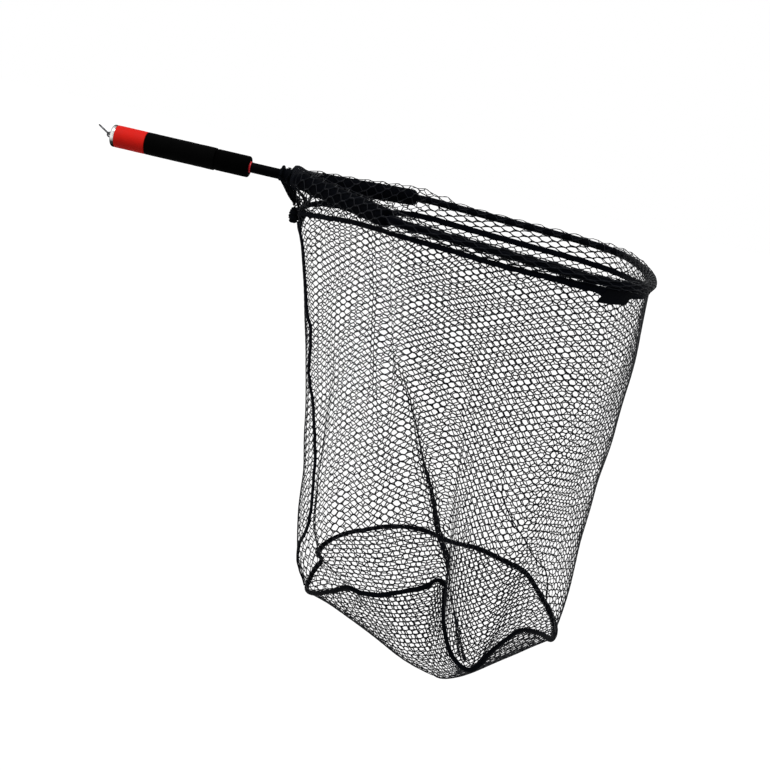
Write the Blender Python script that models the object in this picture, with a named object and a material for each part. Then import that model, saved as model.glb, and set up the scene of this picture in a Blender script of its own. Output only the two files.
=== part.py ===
# Floating landing net: foam-gripped handle, round-cornered hoop on two floating arms,
# and a deep bag of coated netting that hangs from the hoop.
# The handle lies along +X with its butt at -X, +Z is up, and the bag hangs to -Z.
# The origin is the middle of the grip, on the handle's axis. Lengths are in metres.

import math

import bmesh
import bpy
from mathutils import Vector

# Clearances between pieces
seat_gap = 0.0003
running_gap = 0.0008

# Handle
grip_radius = 0.0175
cap_radius = 0.0172
cap_length = 0.007
cap_flat_radius = 0.0125
cap_shoulder_length = 0.0038
butt_grip_length = 0.049
main_grip_length = 0.1116
sleeve_radius = 0.0165
sleeve_length = 0.0561
sleeve_edge = 0.003
collar_radius = 0.0124
collar_length = 0.0042
collar_edge = 0.0006
collar_proud = 0.0005
shaft_radius = 0.008
shaft_wall = 0.0012
shaft_free_length = 0.046
rear_plug_length = 0.022
front_plug_length = 0.011
foam_step = 0.0008

# Lanyard ring and the eye that holds it
eye_wire_radius = 0.0013
eye_hole_radius = 0.0019
eye_stand_off = 0.0005
eye_shank_length = 0.014
ring_wire_radius = 0.0011
ring_outer_radius = 0.0116
ring_lift_degrees = 32.0

# Yoke that joins the shaft to the hoop
yoke_radius = 0.0115
yoke_length = 0.042
yoke_neck_radius = 0.0098
yoke_neck_length = 0.0074
yoke_neck_taper = 0.0024
shaft_depth = 0.0203
shaft_end_room = 0.0007
socket_radius = 0.0095
socket_length = 0.020
socket_root = 0.002
screw_shank_radius = 0.0014
screw_head_radius = 0.003
screw_head_height = 0.0014
screw_end_room = 0.002
shaft_screw_place = 0.0140
arm_screw_place = 0.010

# Hoop, measured on the centre line of its tube
hoop_tube_radius = 0.006
hoop_tube_wall = 0.0011
hoop_length = 0.564
front_bow = 0.034
knee_reach = 0.1926
knee_half_width = 0.2115
tip_half_width = 0.240
knee_bend_radius = 0.045
tip_bend_radius = 0.090
hoop_droop_degrees = 2.2
arm_tube_start = 0.014

# Foam floats on the arms
float_radius = 0.014
float_knee_room = 0.009
float_edge = 0.0015

# Netting and its sewn edges
net_thickness = 0.0015
net_bar_width = 0.005
net_opening_width = 0.070
rim_tape_height = 0.0072
rim_tape_thickness = 0.0028
edge_cord_radius = 0.0028
seam_tape_width = 0.0062
seam_tape_thickness = 0.0022
seam_tape_lift = 0.0006
sleeve_taper = 0.075

# How far the rim seam hangs below the tube's underside: share of the way from yoke to front, drop
near_rim_drops = ((0.0, 0.044), (0.10, 0.034), (0.20, 0.023), (0.31, 0.0155), (0.42, 0.0105),
                  (0.65, 0.0095), (0.78, 0.0072), (0.92, 0.0072), (1.0, 0.012))
far_rim_drops = ((0.0, 0.044), (0.10, 0.036), (0.20, 0.028), (0.31, 0.023), (0.42, 0.024),
                 (0.65, 0.026), (0.78, 0.025), (0.92, 0.018), (1.0, 0.012))

# Knot below the yoke that gathers the rim seam, and the two cords that tie it up
knot_reach = 0.0235
knot_depth = 0.0565
knot_size = (0.0082, 0.0084, 0.0135)
tie_cord_radius = 0.0021
rear_tie_place = 0.0044
front_tie_place = 0.0232
front_tie_room = 0.0026
rear_tie_lean = 0.0
front_tie_lean = 0.0062
tie_foot_room = 0.0008
tie_foot_spread = 0.0032
tie_wrap_degrees = 210.0

# Base of the bag: its middle, and the route of its edge cord measured from there
base_centre_reach = 0.366
bag_depth = 0.600
base_sag = 0.126
base_sag_place = (0.040, -0.060)
base_sag_roundness = 1.35
base_edge_route = (
    (-0.210, 0.000, -0.060), (-0.193, -0.050, -0.045), (-0.160, -0.100, -0.010),
    (-0.137, -0.125, 0.014), (-0.113, -0.140, 0.018), (-0.085, -0.145, 0.024),
    (-0.055, -0.140, 0.035), (-0.020, -0.125, 0.047), (-0.005, -0.112, 0.057),
    (0.010, -0.112, 0.053), (0.014, -0.124, 0.034), (0.022, -0.140, 0.002),
    (0.037, -0.150, -0.030), (0.055, -0.156, -0.048), (0.076, -0.160, -0.053),
    (0.090, -0.164, -0.036), (0.099, -0.165, -0.014), (0.115, -0.160, 0.008),
    (0.138, -0.140, 0.023), (0.172, -0.100, 0.007), (0.198, -0.050, -0.020),
    (0.207, 0.000, -0.024), (0.200, 0.050, -0.021), (0.181, 0.100, -0.014),
    (0.150, 0.130, 0.007), (0.109, 0.150, 0.012), (0.060, 0.162, 0.017),
    (0.008, 0.165, 0.016), (-0.045, 0.165, 0.025), (-0.095, 0.165, 0.018),
    (-0.140, 0.155, 0.004), (-0.175, 0.135, -0.006), (-0.203, 0.110, -0.020),
    (-0.212, 0.085, -0.031), (-0.200, 0.058, -0.031), (-0.206, 0.028, -0.038))
wall_rows = (0.0, 0.15, 0.30, 0.45, 0.60, 0.75, 0.90, 1.0)
front_belly = (0.0, 0.009, 0.0114, 0.0121, 0.0094, 0.0068, 0.0043, 0.0)
yoke_belly = (0.0, -0.006, -0.0096, -0.0111, -0.0084, 0.0007, 0.0098, 0.0)
base_rings = (1.0, 0.82, 0.54, 0.24)

# Side seam down the bag's yoke end: share of the depth, share of the way round
side_seam_route = ((0.0, 0.012), (0.07, 0.021), (0.15, 0.021), (0.23, 0.024), (0.30, 0.031),
                   (0.37, 0.026), (0.42, 0.020), (0.50, 0.031), (0.62, 0.040), (0.74, 0.046),
                   (0.82, 0.042), (0.89, 0.018), (0.95, 0.008), (1.0, 0.008))
side_seam_top_room = 0.0093
side_seam_foot_room = 0.0217
side_seam_steps = 5

# Sewn-on tag under the near side of the rim
tag_length = 0.040
tag_drop = 0.021
tag_overlap = 0.0034
tag_thickness = 0.0009
tag_stand_off = 0.0004
tag_set_back = 0.084
tag_lean = 0.009

# Facets
turned_steps = 24
float_steps = 20
yoke_steps = 20
small_steps = 12
hole_steps = 10
cap_edge_steps = 4
sleeve_edge_steps = 3
tie_wrap_steps = 8
curve_steps = 8
tube_sides = 8
ring_steps = 28
eye_steps = 16
knee_steps = 4
tip_bend_steps = 7
tag_steps = 4
sharp_degrees = 35.0
cutter_reach = 0.02
near_column_spacing = 0.024
far_column_spacing = 0.045
least_column_gap = 0.004

# Worked out along the handle
grip_length = cap_length + butt_grip_length + main_grip_length + sleeve_length
cap_back_x = -grip_length / 2
butt_grip_x = cap_back_x + cap_length
main_grip_x = butt_grip_x + butt_grip_length
sleeve_x = main_grip_x + main_grip_length
sleeve_front_x = sleeve_x + sleeve_length
yoke_x = sleeve_front_x + shaft_free_length
shaft_front_x = yoke_x + shaft_depth
foam_bore = shaft_radius + seat_gap
shaft_bore = shaft_radius - shaft_wall

# Worked out at the ring and its eye
eye_ring_radius = eye_hole_radius + eye_wire_radius
eye_x = cap_back_x - eye_stand_off - eye_ring_radius - eye_wire_radius
ring_radius = ring_outer_radius - ring_wire_radius

# Worked out at the yoke and along the hoop
arm_apex_x = yoke_x + shaft_depth + shaft_end_room
arm_angle = math.atan2(knee_half_width, knee_reach)
arm_direction = Vector((math.cos(arm_angle), math.sin(arm_angle), 0.0))
hoop_front_x = arm_apex_x + hoop_length
socket_end = arm_tube_start + socket_length
hoop_bore = hoop_tube_radius - hoop_tube_wall
base_centre = Vector((arm_apex_x + base_centre_reach, 0.0, -bag_depth))


def clear_scene():
    for thing in list(bpy.data.objects):
        bpy.data.objects.remove(thing, do_unlink=True)


def paint(name, colour, roughness, metallic=0.0):
    material = bpy.data.materials.new(name)
    material.use_nodes = True
    shader = material.node_tree.nodes["Principled BSDF"]
    shader.inputs["Base Color"].default_value = (*colour, 1.0)
    shader.inputs["Roughness"].default_value = roughness
    shader.inputs["Metallic"].default_value = metallic
    material.diffuse_color = (*colour, 1.0)
    return material


def add_piece(name, mesh_data, material, place=(0.0, 0.0, 0.0), turn=(0.0, 0.0, 0.0)):
    bmesh.ops.recalc_face_normals(mesh_data, faces=mesh_data.faces)
    if mesh_data.calc_volume(signed=True) < 0:
        bmesh.ops.reverse_faces(mesh_data, faces=mesh_data.faces)
    mesh = bpy.data.meshes.new(name)
    mesh_data.to_mesh(mesh)
    mesh_data.free()
    mesh.shade_smooth()
    mesh.set_sharp_from_angle(angle=math.radians(sharp_degrees))
    piece = bpy.data.objects.new(name, mesh)
    piece.location = place
    piece.rotation_euler = turn
    bpy.context.scene.collection.objects.link(piece)
    if material is not None:
        mesh.materials.append(material)
    return piece


def turned(profile, steps=turned_steps):
    # Spins a closed outline of (x, radius) points about the X axis
    shape = bmesh.new()
    corners = [shape.verts.new((x, 0.0, radius)) for x, radius in profile]
    edges = [shape.edges.new((corners[i - 1], corners[i])) for i in range(len(corners))]
    bmesh.ops.spin(shape, geom=corners + edges, cent=(0.0, 0.0, 0.0), axis=(1.0, 0.0, 0.0),
                   angle=2 * math.pi, steps=steps, use_merge=True)
    bmesh.ops.remove_doubles(shape, verts=shape.verts, dist=1e-6)
    loose = [edge for edge in shape.edges if not edge.link_faces]
    bmesh.ops.delete(shape, geom=loose, context="EDGES")
    return shape


def rod(start_x, end_x, radius, steps=small_steps):
    return turned([(start_x, 0.0), (end_x, 0.0), (end_x, radius), (start_x, radius)], steps)


def sleeve_profile(length, radius, bore, edge=0.0, edge_steps=1):
    # A tube from x = 0 to x = length whose outer edges are cut back or rounded by edge
    outline = [(0.0, bore), (length, bore)]
    if not edge:
        return outline + [(length, radius), (0.0, radius)]
    for corner_x, first in ((length - edge, 0.0), (edge, 90.0)):
        for step in range(edge_steps + 1):
            angle = math.radians(first + 90.0 * step / edge_steps)
            outline.append((corner_x + edge * math.cos(angle), radius - edge + edge * math.sin(angle)))
    return outline


def torus(ring, wire, steps, sides):
    # A ring about the Y axis
    shape = bmesh.new()
    bmesh.ops.create_circle(shape, segments=sides, radius=wire)
    for corner in shape.verts:
        corner.co = Vector((corner.co.x + ring, corner.co.y, 0.0))
    bmesh.ops.spin(shape, geom=shape.verts[:] + shape.edges[:], cent=(0.0, 0.0, 0.0),
                   axis=(0.0, 1.0, 0.0), angle=2 * math.pi, steps=steps, use_merge=True)
    bmesh.ops.remove_doubles(shape, verts=shape.verts, dist=1e-6)
    return shape


def skin_rings(shape, rings, closed):
    # Joins rows of points, each a closed loop, into a skin and returns its rows of corners
    rows = [[shape.verts.new(point) for point in ring] for ring in rings]
    pairs = list(zip(rows, rows[1:]))
    if closed:
        pairs.append((rows[-1], rows[0]))
    for low, high in pairs:
        for i in range(len(low)):
            shape.faces.new((low[i - 1], low[i], high[i], high[i - 1]))
    return rows


def swept(rings, inner_rings=None, closed=False):
    # A solid or hollow bar whose cross-sections are the given rings
    shape = bmesh.new()
    outer = skin_rings(shape, rings, closed)
    if inner_rings:
        inner = skin_rings(shape, inner_rings, closed)
    if closed:
        return shape
    for end in (0, -1):
        if inner_rings:
            for i in range(len(outer[end])):
                shape.faces.new((outer[end][i - 1], outer[end][i], inner[end][i], inner[end][i - 1]))
        else:
            shape.faces.new(outer[end])
    return shape


def round_section(centre, side, up, radius, sides):
    section = []
    for i in range(sides):
        angle = 2 * math.pi * i / sides
        section.append(centre + side * (radius * math.cos(angle)) + up * (radius * math.sin(angle)))
    return section


def flat_section(centre, side, up, width, height):
    corners = ((-0.5, -0.5), (0.5, -0.5), (0.5, 0.5), (-0.5, 0.5))
    return [centre + side * (width * a) + up * (height * b) for a, b in corners]


def tangents(points, closed=False):
    result = []
    last = len(points) - 1
    for i in range(len(points)):
        before = points[i - 1] if closed or i > 0 else points[i]
        after = points[(i + 1) % len(points)] if closed or i < last else points[i]
        result.append((after - before).normalized())
    return result


def level_side(tangent):
    # The level direction square to a path
    return Vector((tangent.y, -tangent.x, 0.0)).normalized()


def between(table, place):
    for (start, low), (end, high) in zip(table, table[1:]):
        if place <= end:
            share = (place - start) / (end - start)
            return low + (high - low) * max(0.0, share)
    return table[-1][1]


def rounded_corner(before, corner, after, radius, steps):
    # Points of the arc that rounds a corner of a path
    back = (before - corner).normalized()
    ahead = (after - corner).normalized()
    half = back.angle(ahead) / 2
    reach = radius / math.tan(half)
    centre = corner + (back + ahead).normalized() * (radius / math.sin(half))
    start = corner + back * reach - centre
    end = corner + ahead * reach - centre
    turn = start.angle(end)
    arc = []
    for i in range(steps + 1):
        share = i / steps
        spoke = start * math.sin((1 - share) * turn) + end * math.sin(share * turn)
        arc.append(centre + spoke / math.sin(turn))
    return arc


def droop(point):
    # The hoop slopes down from the yoke's apex toward its front
    fall = math.tan(math.radians(hoop_droop_degrees)) * max(0.0, point.x - arm_apex_x)
    return Vector((point.x, point.y, -fall))


def near_half_route():
    # The near arm from the yoke to the middle of the hoop's front
    apex = Vector((arm_apex_x, 0.0, 0.0))
    start = apex + Vector((arm_direction.x, -arm_direction.y, 0.0)) * arm_tube_start
    knee = apex + Vector((knee_reach, -knee_half_width, 0.0))
    front = [Vector((hoop_front_x - front_bow * share ** 2, -tip_half_width * share, 0.0))
             for share in (1.0, 0.5, 0.25, 0.0)]
    route = [start]
    route += rounded_corner(start, knee, front[0], knee_bend_radius, knee_steps)
    route += rounded_corner(knee, front[0], front[1], tip_bend_radius, tip_bend_steps)
    return route + front[1:]


def path_length(points):
    return sum((b - a).length for a, b in zip(points, points[1:]))


def point_along(points, distance):
    for a, b in zip(points, points[1:]):
        step = (b - a).length
        if distance <= step:
            return a.lerp(b, distance / step)
        distance -= step
    return points[-1].copy()


near_half = near_half_route()
half_length = path_length(near_half)

# The floats fill the straight of each arm, from the yoke's sockets to just short of the knee
float_start = socket_end + seat_gap
float_end = arm_tube_start + (near_half[1] - near_half[0]).length - float_knee_room
float_length = float_end - float_start


def hoop_point(distance):
    # Centre of the hoop's tube, measured from the near arm's end right round to the far one
    if distance <= half_length:
        return droop(point_along(near_half, distance))
    mirrored = point_along(near_half, 2 * half_length - distance)
    return droop(Vector((mirrored.x, -mirrored.y, 0.0)))


def cover_radius(distance):
    # Inside radius of the netting over the hoop: wide over a float, tapering past its end
    along = min(distance, 2 * half_length - distance)
    bare = hoop_tube_radius + running_gap
    over_float = float_radius + running_gap
    past = along - (float_end + near_column_spacing - arm_tube_start)
    share = min(1.0, max(0.0, past / sleeve_taper))
    return over_float + (bare - over_float) * share


def rim_depth(distance):
    # How far the rim seam lies below the tube's centre, and at least clear of the netting's round
    if distance <= half_length:
        drop = between(near_rim_drops, distance / half_length)
    else:
        drop = between(far_rim_drops, (2 * half_length - distance) / half_length)
    least = cover_radius(distance) + net_thickness + rim_tape_height / 2 + running_gap
    return max(hoop_tube_radius + drop, least)


def run_marks(spacing):
    # Distances along half the hoop: the bends' own points, and evenly spaced ones on its runs
    marks = [0.0]
    for a, b in zip(near_half, near_half[1:]):
        run = (b - a).length
        pieces = max(1, math.ceil(run / spacing - 0.01))
        marks += [marks[-1] + run / pieces * (i + 1) for i in range(pieces)]
    return marks[:-1] + [half_length]


# The netting's columns on each half of the hoop start at the float's rear end
cover_start = float_start - arm_tube_start


def cover_half(spacing):
    return [cover_start] + [m for m in run_marks(spacing) if m > cover_start + least_column_gap]


# Rim seam: a closed loop that follows the hoop and meets behind the knot
near_marks = cover_half(near_column_spacing)
far_marks = cover_half(far_column_spacing)
cover_marks = near_marks + [2 * half_length - m for m in reversed(far_marks[:-1])]
seam_knot = Vector((arm_apex_x + knot_reach, 0.0, -knot_depth))


def seam_below(distance):
    return hoop_point(distance) - Vector((0.0, 0.0, rim_depth(distance)))


cover_centres = [hoop_point(mark) for mark in cover_marks]
seam_on_hoop = [seam_below(mark) for mark in cover_marks]
seam_loop = [seam_knot, seam_knot.lerp(seam_on_hoop[0], 0.5)] + seam_on_hoop
seam_loop.append(seam_knot.lerp(seam_on_hoop[-1], 0.5))
column_count = len(seam_loop)
seam_tangents = tangents(seam_loop, closed=True)


def smooth_loop(route, steps):
    # A smooth closed curve through the route's points
    curve = []
    for i in range(len(route)):
        before, start, end, after = (route[(i + k) % len(route)] for k in (-1, 0, 1, 2))
        for step in range(steps):
            t = step / steps
            curve.append(0.5 * (2 * start + (end - before) * t
                                + (2 * before - 5 * start + 4 * end - after) * t ** 2
                                + (3 * start - before - 3 * end + after) * t ** 3))
    return curve


def loop_shares(loop):
    # How far round a closed loop each of its points lies, from 0 to just under 1
    steps = [(b - a).length for a, b in zip(loop, loop[1:] + loop[:1])]
    return [sum(steps[:i]) / sum(steps) for i in range(len(loop))]


column_shares = loop_shares(seam_loop)
seam_girth = path_length(seam_loop + seam_loop[:1])
base_curve = smooth_loop([base_centre + Vector(point) for point in base_edge_route], curve_steps)
base_curve.append(base_curve[0].copy())
base_girth = path_length(base_curve)
base_edge = [point_along(base_curve, share * base_girth) for share in column_shares]
base_edge_tangents = tangents(base_edge, closed=True)


def square_to(direction, tangent):
    return (direction - tangent * direction.dot(tangent)).normalized()


def wall_point(column, row):
    # A corner of the bag's side, on its way from the rim seam to the base edge. The side
    # swells by its front belly toward the hoop's front and by its yoke belly toward the yoke.
    tape_clear = rim_tape_height / 2 + seat_gap
    top = seam_loop[column] - Vector((0.0, 0.0, tape_clear))
    edge = base_edge[column]
    away = square_to(seam_loop[column] - edge, base_edge_tangents[column])
    foot = edge + away * (edge_cord_radius + 2 * seat_gap)
    outward = Vector((edge.x - base_centre.x, edge.y, 0.0)).normalized()
    front_share = (1 + outward.x) / 2
    swell = yoke_belly[row] + (front_belly[row] - yoke_belly[row]) * front_share
    return top.lerp(foot, wall_rows[row]) + outward * swell


def base_panel_point(column, ring):
    # The bag's bottom: sags from the edge cord to its lowest point
    edge = base_edge[column]
    lowest = base_centre + Vector((*base_sag_place, -base_sag))
    away = square_to(lowest - edge, base_edge_tangents[column])
    rim = edge + away * (edge_cord_radius + 2 * seat_gap)
    spot = lowest.lerp(rim, ring)
    spot.z = lowest.z + (rim.z - lowest.z) * ring ** base_sag_roundness
    return spot


def thicken(piece, thickness):
    solidify = piece.modifiers.new("thickness", "SOLIDIFY")
    solidify.thickness = thickness
    solidify.offset = 0.0


def apply_shapes(piece, others, operation):
    # Each Boolean is followed by a weld of its stray corners, far below any real size
    for other in others:
        other.hide_render = True
        other.display_type = "WIRE"
        boolean = piece.modifiers.new(other.name, "BOOLEAN")
        boolean.operation = operation
        boolean.solver = "EXACT"
        boolean.object = other
        weld = piece.modifiers.new(other.name + "_weld", "WELD")
        weld.merge_threshold = 0.00001


def cut_with(piece, cutters):
    apply_shapes(piece, cutters, "DIFFERENCE")


def join_with(piece, others):
    apply_shapes(piece, others, "UNION")


# Handle

def make_end_cap():
    chrome = paint("polished_cap", (0.82, 0.83, 0.82), 0.12, 1.0)
    shank_bore = eye_wire_radius + seat_gap
    outline = [(0.0, shank_bore), (cap_length - seat_gap, shank_bore),
               (cap_length - seat_gap, cap_radius)]
    shoulder = cap_radius - cap_flat_radius
    for step in range(cap_edge_steps + 1):
        angle = math.radians(90.0 * step / cap_edge_steps)
        outline.append((cap_shoulder_length * (1 - math.sin(angle)),
                        cap_flat_radius + shoulder * math.cos(angle)))
    add_piece("end_cap", turned(outline), chrome, (cap_back_x, 0.0, 0.0))


def make_lanyard_eye():
    steel = paint("eye_steel", (0.75, 0.75, 0.76), 0.2, 1.0)
    eye = add_piece("lanyard_eye", torus(eye_ring_radius, eye_wire_radius, eye_steps, tube_sides), steel,
                    (eye_x, 0.0, 0.0))
    shank = add_piece("eye_shank", rod(eye_ring_radius, eye_ring_radius + eye_shank_length,
                                       eye_wire_radius), None, (eye_x, 0.0, 0.0))
    join_with(eye, [shank])


def make_lanyard_ring():
    # The ring's origin is in the eye, on its hinge line, and its middle is one radius away
    chrome = paint("ring_steel", (0.85, 0.85, 0.86), 0.1, 1.0)
    shape = torus(ring_radius, ring_wire_radius, ring_steps, tube_sides)
    for corner in shape.verts:
        corner.co = Vector((corner.co.x - ring_radius, corner.co.z, corner.co.y))
    add_piece("lanyard_ring", shape, chrome, (eye_x, 0.0, 0.0),
              (0.0, math.radians(ring_lift_degrees), 0.0))


def make_rear_plug():
    nylon = paint("plug_nylon", (0.05, 0.05, 0.05), 0.6)
    shank_bore = eye_wire_radius + seat_gap
    shank_room = eye_x + eye_ring_radius + eye_shank_length + seat_gap - butt_grip_x
    radius = shaft_bore - seat_gap
    outline = [(seat_gap, shank_bore), (shank_room, shank_bore), (shank_room, 0.0),
               (rear_plug_length, 0.0), (rear_plug_length, radius), (seat_gap, radius)]
    add_piece("rear_plug", turned(outline, small_steps), nylon, (butt_grip_x, 0.0, 0.0))


def make_handle_tube():
    black = paint("shaft_paint", (0.006, 0.006, 0.007), 0.35)
    length = shaft_front_x - butt_grip_x - seat_gap
    tube = add_piece("handle_tube", turned(sleeve_profile(length, shaft_radius, shaft_bore)), black,
                     (butt_grip_x + seat_gap, 0.0, 0.0))
    cut_with(tube, [screw_cutter("tube_screw_hole", Vector((yoke_x + shaft_screw_place, 0.0, 0.0)))])


def make_front_plug():
    nylon = paint("front_plug_nylon", (0.05, 0.05, 0.05), 0.6)
    end = yoke_x + shaft_screw_place - screw_shank_radius - 2 * running_gap
    add_piece("front_plug", rod(0.0, front_plug_length, shaft_bore - seat_gap), nylon,
              (end - front_plug_length, 0.0, 0.0))


def make_grips():
    red = paint("red_foam", (0.64, 0.012, 0.008), 0.75)
    add_piece("butt_grip", turned(sleeve_profile(butt_grip_length - seat_gap, grip_radius,
                                                 foam_bore, foam_step)),
              red, (butt_grip_x, 0.0, 0.0))
    black = paint("black_foam", (0.008, 0.008, 0.008), 0.8)
    add_piece("main_grip", turned(sleeve_profile(main_grip_length - seat_gap, grip_radius,
                                                 foam_bore, foam_step)),
              black, (main_grip_x, 0.0, 0.0))


def make_front_sleeve():
    black = paint("sleeve_rubber", (0.007, 0.007, 0.007), 0.55)
    outline = sleeve_profile(sleeve_length, sleeve_radius, foam_bore, sleeve_edge, sleeve_edge_steps)
    seat_x = sleeve_length + collar_proud - collar_length - seat_gap
    seat_radius = collar_radius + seat_gap
    outline[1:2] = [(seat_x, foam_bore), (seat_x, seat_radius), (sleeve_length, seat_radius)]
    add_piece("front_sleeve", turned(outline), black, (sleeve_x, 0.0, 0.0))


def make_front_collar():
    red = paint("collar_red", (0.62, 0.02, 0.03), 0.35)
    add_piece("front_collar", turned(sleeve_profile(collar_length, collar_radius, foam_bore, collar_edge)),
              red, (sleeve_front_x + collar_proud - collar_length, 0.0, 0.0))


# Yoke and its screws

def arm_frame(side):
    # Place and turn that put +X along an arm, starting at the apex
    return (arm_apex_x, 0.0, 0.0), (0.0, math.radians(hoop_droop_degrees) * arm_direction.x,
                                    side * arm_angle)


def screw_cutter(name, place):
    hole_radius = screw_shank_radius + seat_gap
    return add_piece(name, rod(-cutter_reach, cutter_reach, hole_radius, hole_steps), None, place,
                     (0.0, math.radians(90.0), 0.0))


def arm_point(side, distance):
    reach = arm_direction * distance
    return Vector((arm_apex_x + reach.x, side * reach.y, 0.0))


def arm_screw_spot(side):
    return droop(arm_point(side, arm_tube_start + arm_screw_place))


def make_yoke():
    black = paint("yoke_nylon", (0.006, 0.006, 0.007), 0.5)
    body = [(0.0, 0.0), (yoke_length, 0.0), (yoke_length, yoke_radius),
            (yoke_neck_length + yoke_neck_taper, yoke_radius), (yoke_neck_length, yoke_neck_radius),
            (0.0, yoke_neck_radius)]
    yoke = add_piece("yoke", turned(body, yoke_steps), black, (yoke_x, 0.0, 0.0))
    sockets = []
    shaft_cut = rod(-cutter_reach, shaft_depth + seat_gap, shaft_radius + seat_gap, turned_steps)
    cutters = [add_piece("shaft_bore_cut", shaft_cut, None, (yoke_x, 0.0, 0.0))]
    for side, label in ((-1, "near"), (1, "far")):
        place, turn = arm_frame(side)
        socket = rod(socket_root, socket_end, socket_radius, yoke_steps)
        sockets.append(add_piece("socket_" + label, socket, None, place, turn))
        bore = rod(arm_tube_start - seat_gap, socket_end + cutter_reach,
                   hoop_tube_radius + seat_gap, yoke_steps)
        cutters.append(add_piece("arm_bore_cut_" + label, bore, None, place, turn))
        cutters.append(screw_cutter("arm_screw_hole_" + label, arm_screw_spot(side)))
    cutters.append(screw_cutter("shaft_screw_hole", Vector((yoke_x + shaft_screw_place, 0.0, 0.0))))
    join_with(yoke, sockets)
    cut_with(yoke, cutters)


def make_screw(name, spot, body_radius):
    steel = paint(name + "_steel", (0.6, 0.6, 0.62), 0.3, 1.0)
    top = body_radius + seat_gap
    end = body_radius - screw_end_room
    outline = [(-top - screw_head_height, 0.0), (end, 0.0), (end, screw_shank_radius),
               (-top, screw_shank_radius), (-top, screw_head_radius),
               (-top - screw_head_height * 0.5, screw_head_radius),
               (-top - screw_head_height, screw_head_radius * 0.6)]
    add_piece(name, turned(outline, small_steps), steel, spot, (0.0, math.radians(90.0), 0.0))


def make_screws():
    make_screw("shaft_screw", Vector((yoke_x + shaft_screw_place, 0.0, 0.0)), yoke_radius)
    make_screw("arm_screw_near", arm_screw_spot(-1), socket_radius)
    make_screw("arm_screw_far", arm_screw_spot(1), socket_radius)


# Hoop and floats

def make_hoop_tube():
    black = paint("hoop_paint", (0.006, 0.006, 0.007), 0.4)
    marks = [0.0]
    for a, b in zip(near_half, near_half[1:]):
        marks.append(marks[-1] + (b - a).length)
    marks += [2 * half_length - mark for mark in reversed(marks[:-1])]
    centres = [hoop_point(mark) for mark in marks]
    outer = []
    inner = []
    for centre, tangent in zip(centres, tangents(centres)):
        side = level_side(tangent)
        up = side.cross(tangent)
        outer.append(round_section(centre, side, up, hoop_tube_radius, tube_sides))
        inner.append(round_section(centre, side, up, hoop_bore, tube_sides))
    hoop = add_piece("hoop_tube", swept(outer, inner), black)
    cut_with(hoop, [screw_cutter("hoop_screw_hole_near", arm_screw_spot(-1)),
                    screw_cutter("hoop_screw_hole_far", arm_screw_spot(1))])


def make_floats():
    for side, label in ((-1, "near"), (1, "far")):
        foam = paint("float_foam_" + label, (0.012, 0.012, 0.014), 0.85)
        place, turn = arm_frame(side)
        outline = sleeve_profile(float_length, float_radius, hoop_tube_radius + seat_gap, float_edge)
        shape = turned([(x + float_start, radius) for x, radius in outline], float_steps)
        add_piece("float_" + label, shape, foam, place, turn)


# Netting, tapes and cords

def drop_section(centre, side, radius, depth, half_width, sides=9):
    # A round top whose flanks run down to a narrow foot at the given depth.
    # Its facets stand outside the radius, so that they clear the round piece within.
    lean = math.acos(min(0.97, radius / depth))
    start = -math.pi / 2 + lean
    sweep = 2 * math.pi - 2 * lean
    reach = radius / math.cos(sweep / (sides - 1) / 2)
    section = []
    for i in range(sides):
        angle = start + sweep * i / (sides - 1)
        section.append(centre + side * (reach * math.cos(angle)) + Vector((0, 0, reach * math.sin(angle))))
    section.append(centre - side * half_width - Vector((0, 0, depth)))
    section.append(centre + side * half_width - Vector((0, 0, depth)))
    return section


def make_rim_netting():
    net = paint("rim_net", (0.01, 0.011, 0.016), 0.55)
    outer = []
    inner = []
    for mark, centre, tangent in zip(cover_marks, cover_centres, tangents(cover_centres)):
        side = level_side(tangent)
        radius = cover_radius(mark)
        depth = rim_depth(mark) - rim_tape_height / 2 - seat_gap
        outer.append(drop_section(centre, side, radius + net_thickness, depth, net_thickness))
        inner_depth = max(radius * 1.03, depth - net_thickness)
        inner.append(drop_section(centre, side, radius, inner_depth, seat_gap / 2))
    add_piece("rim_netting", swept(outer, inner), net)


def make_rim_tape():
    webbing = paint("rim_webbing", (0.008, 0.009, 0.014), 0.7)
    rings = []
    for centre, tangent in zip(seam_loop, seam_tangents):
        rings.append(flat_section(centre, level_side(tangent), Vector((0, 0, 1)),
                                  rim_tape_thickness, rim_tape_height))
    add_piece("rim_tape", swept(rings, closed=True), webbing)


def upright_bar_columns():
    # Columns that carry an upright bar, each one opening past the bar before it
    bars = [0]
    for column in range(1, column_count):
        reach = (column_shares[column] - column_shares[bars[-1]]) * seam_girth
        left = (1 - column_shares[column]) * seam_girth
        if min(reach, left) >= net_opening_width:
            bars.append(column)
    return bars


def make_wall_netting():
    # The net's fine cells are drawn together into bars: level ones below each row of corners,
    # and upright ones from the rim to the base, with an opening in each cell between them
    net = paint("wall_net", (0.01, 0.011, 0.016), 0.55)
    uprights = upright_bar_columns()
    across = []
    for column, start in enumerate(column_shares):
        across.append((start, column in uprights))
        end = start + net_bar_width / seam_girth
        if column in uprights:
            across.append((min(end, (start + (column_shares + [1.0])[column + 1]) / 2), False))
    bar_share = net_bar_width / bag_depth
    down = []
    for share in wall_rows[:-1]:
        down += [(share, True), (share + bar_share, False)]
    down += [(1.0 - bar_share, True), (1.0, False)]
    shape = bmesh.new()
    corners = [[shape.verts.new(wall_surface(share, depth)[0]) for share, upright in across]
               for depth, level in down]
    for (depth, level), high, low in zip(down, corners, corners[1:]):
        for i, (share, upright) in enumerate(across):
            if level or upright:
                j = (i + 1) % len(across)
                shape.faces.new((high[i], high[j], low[j], low[i]))
    wall = add_piece("wall_netting", shape, net)
    thicken(wall, net_thickness)


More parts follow.
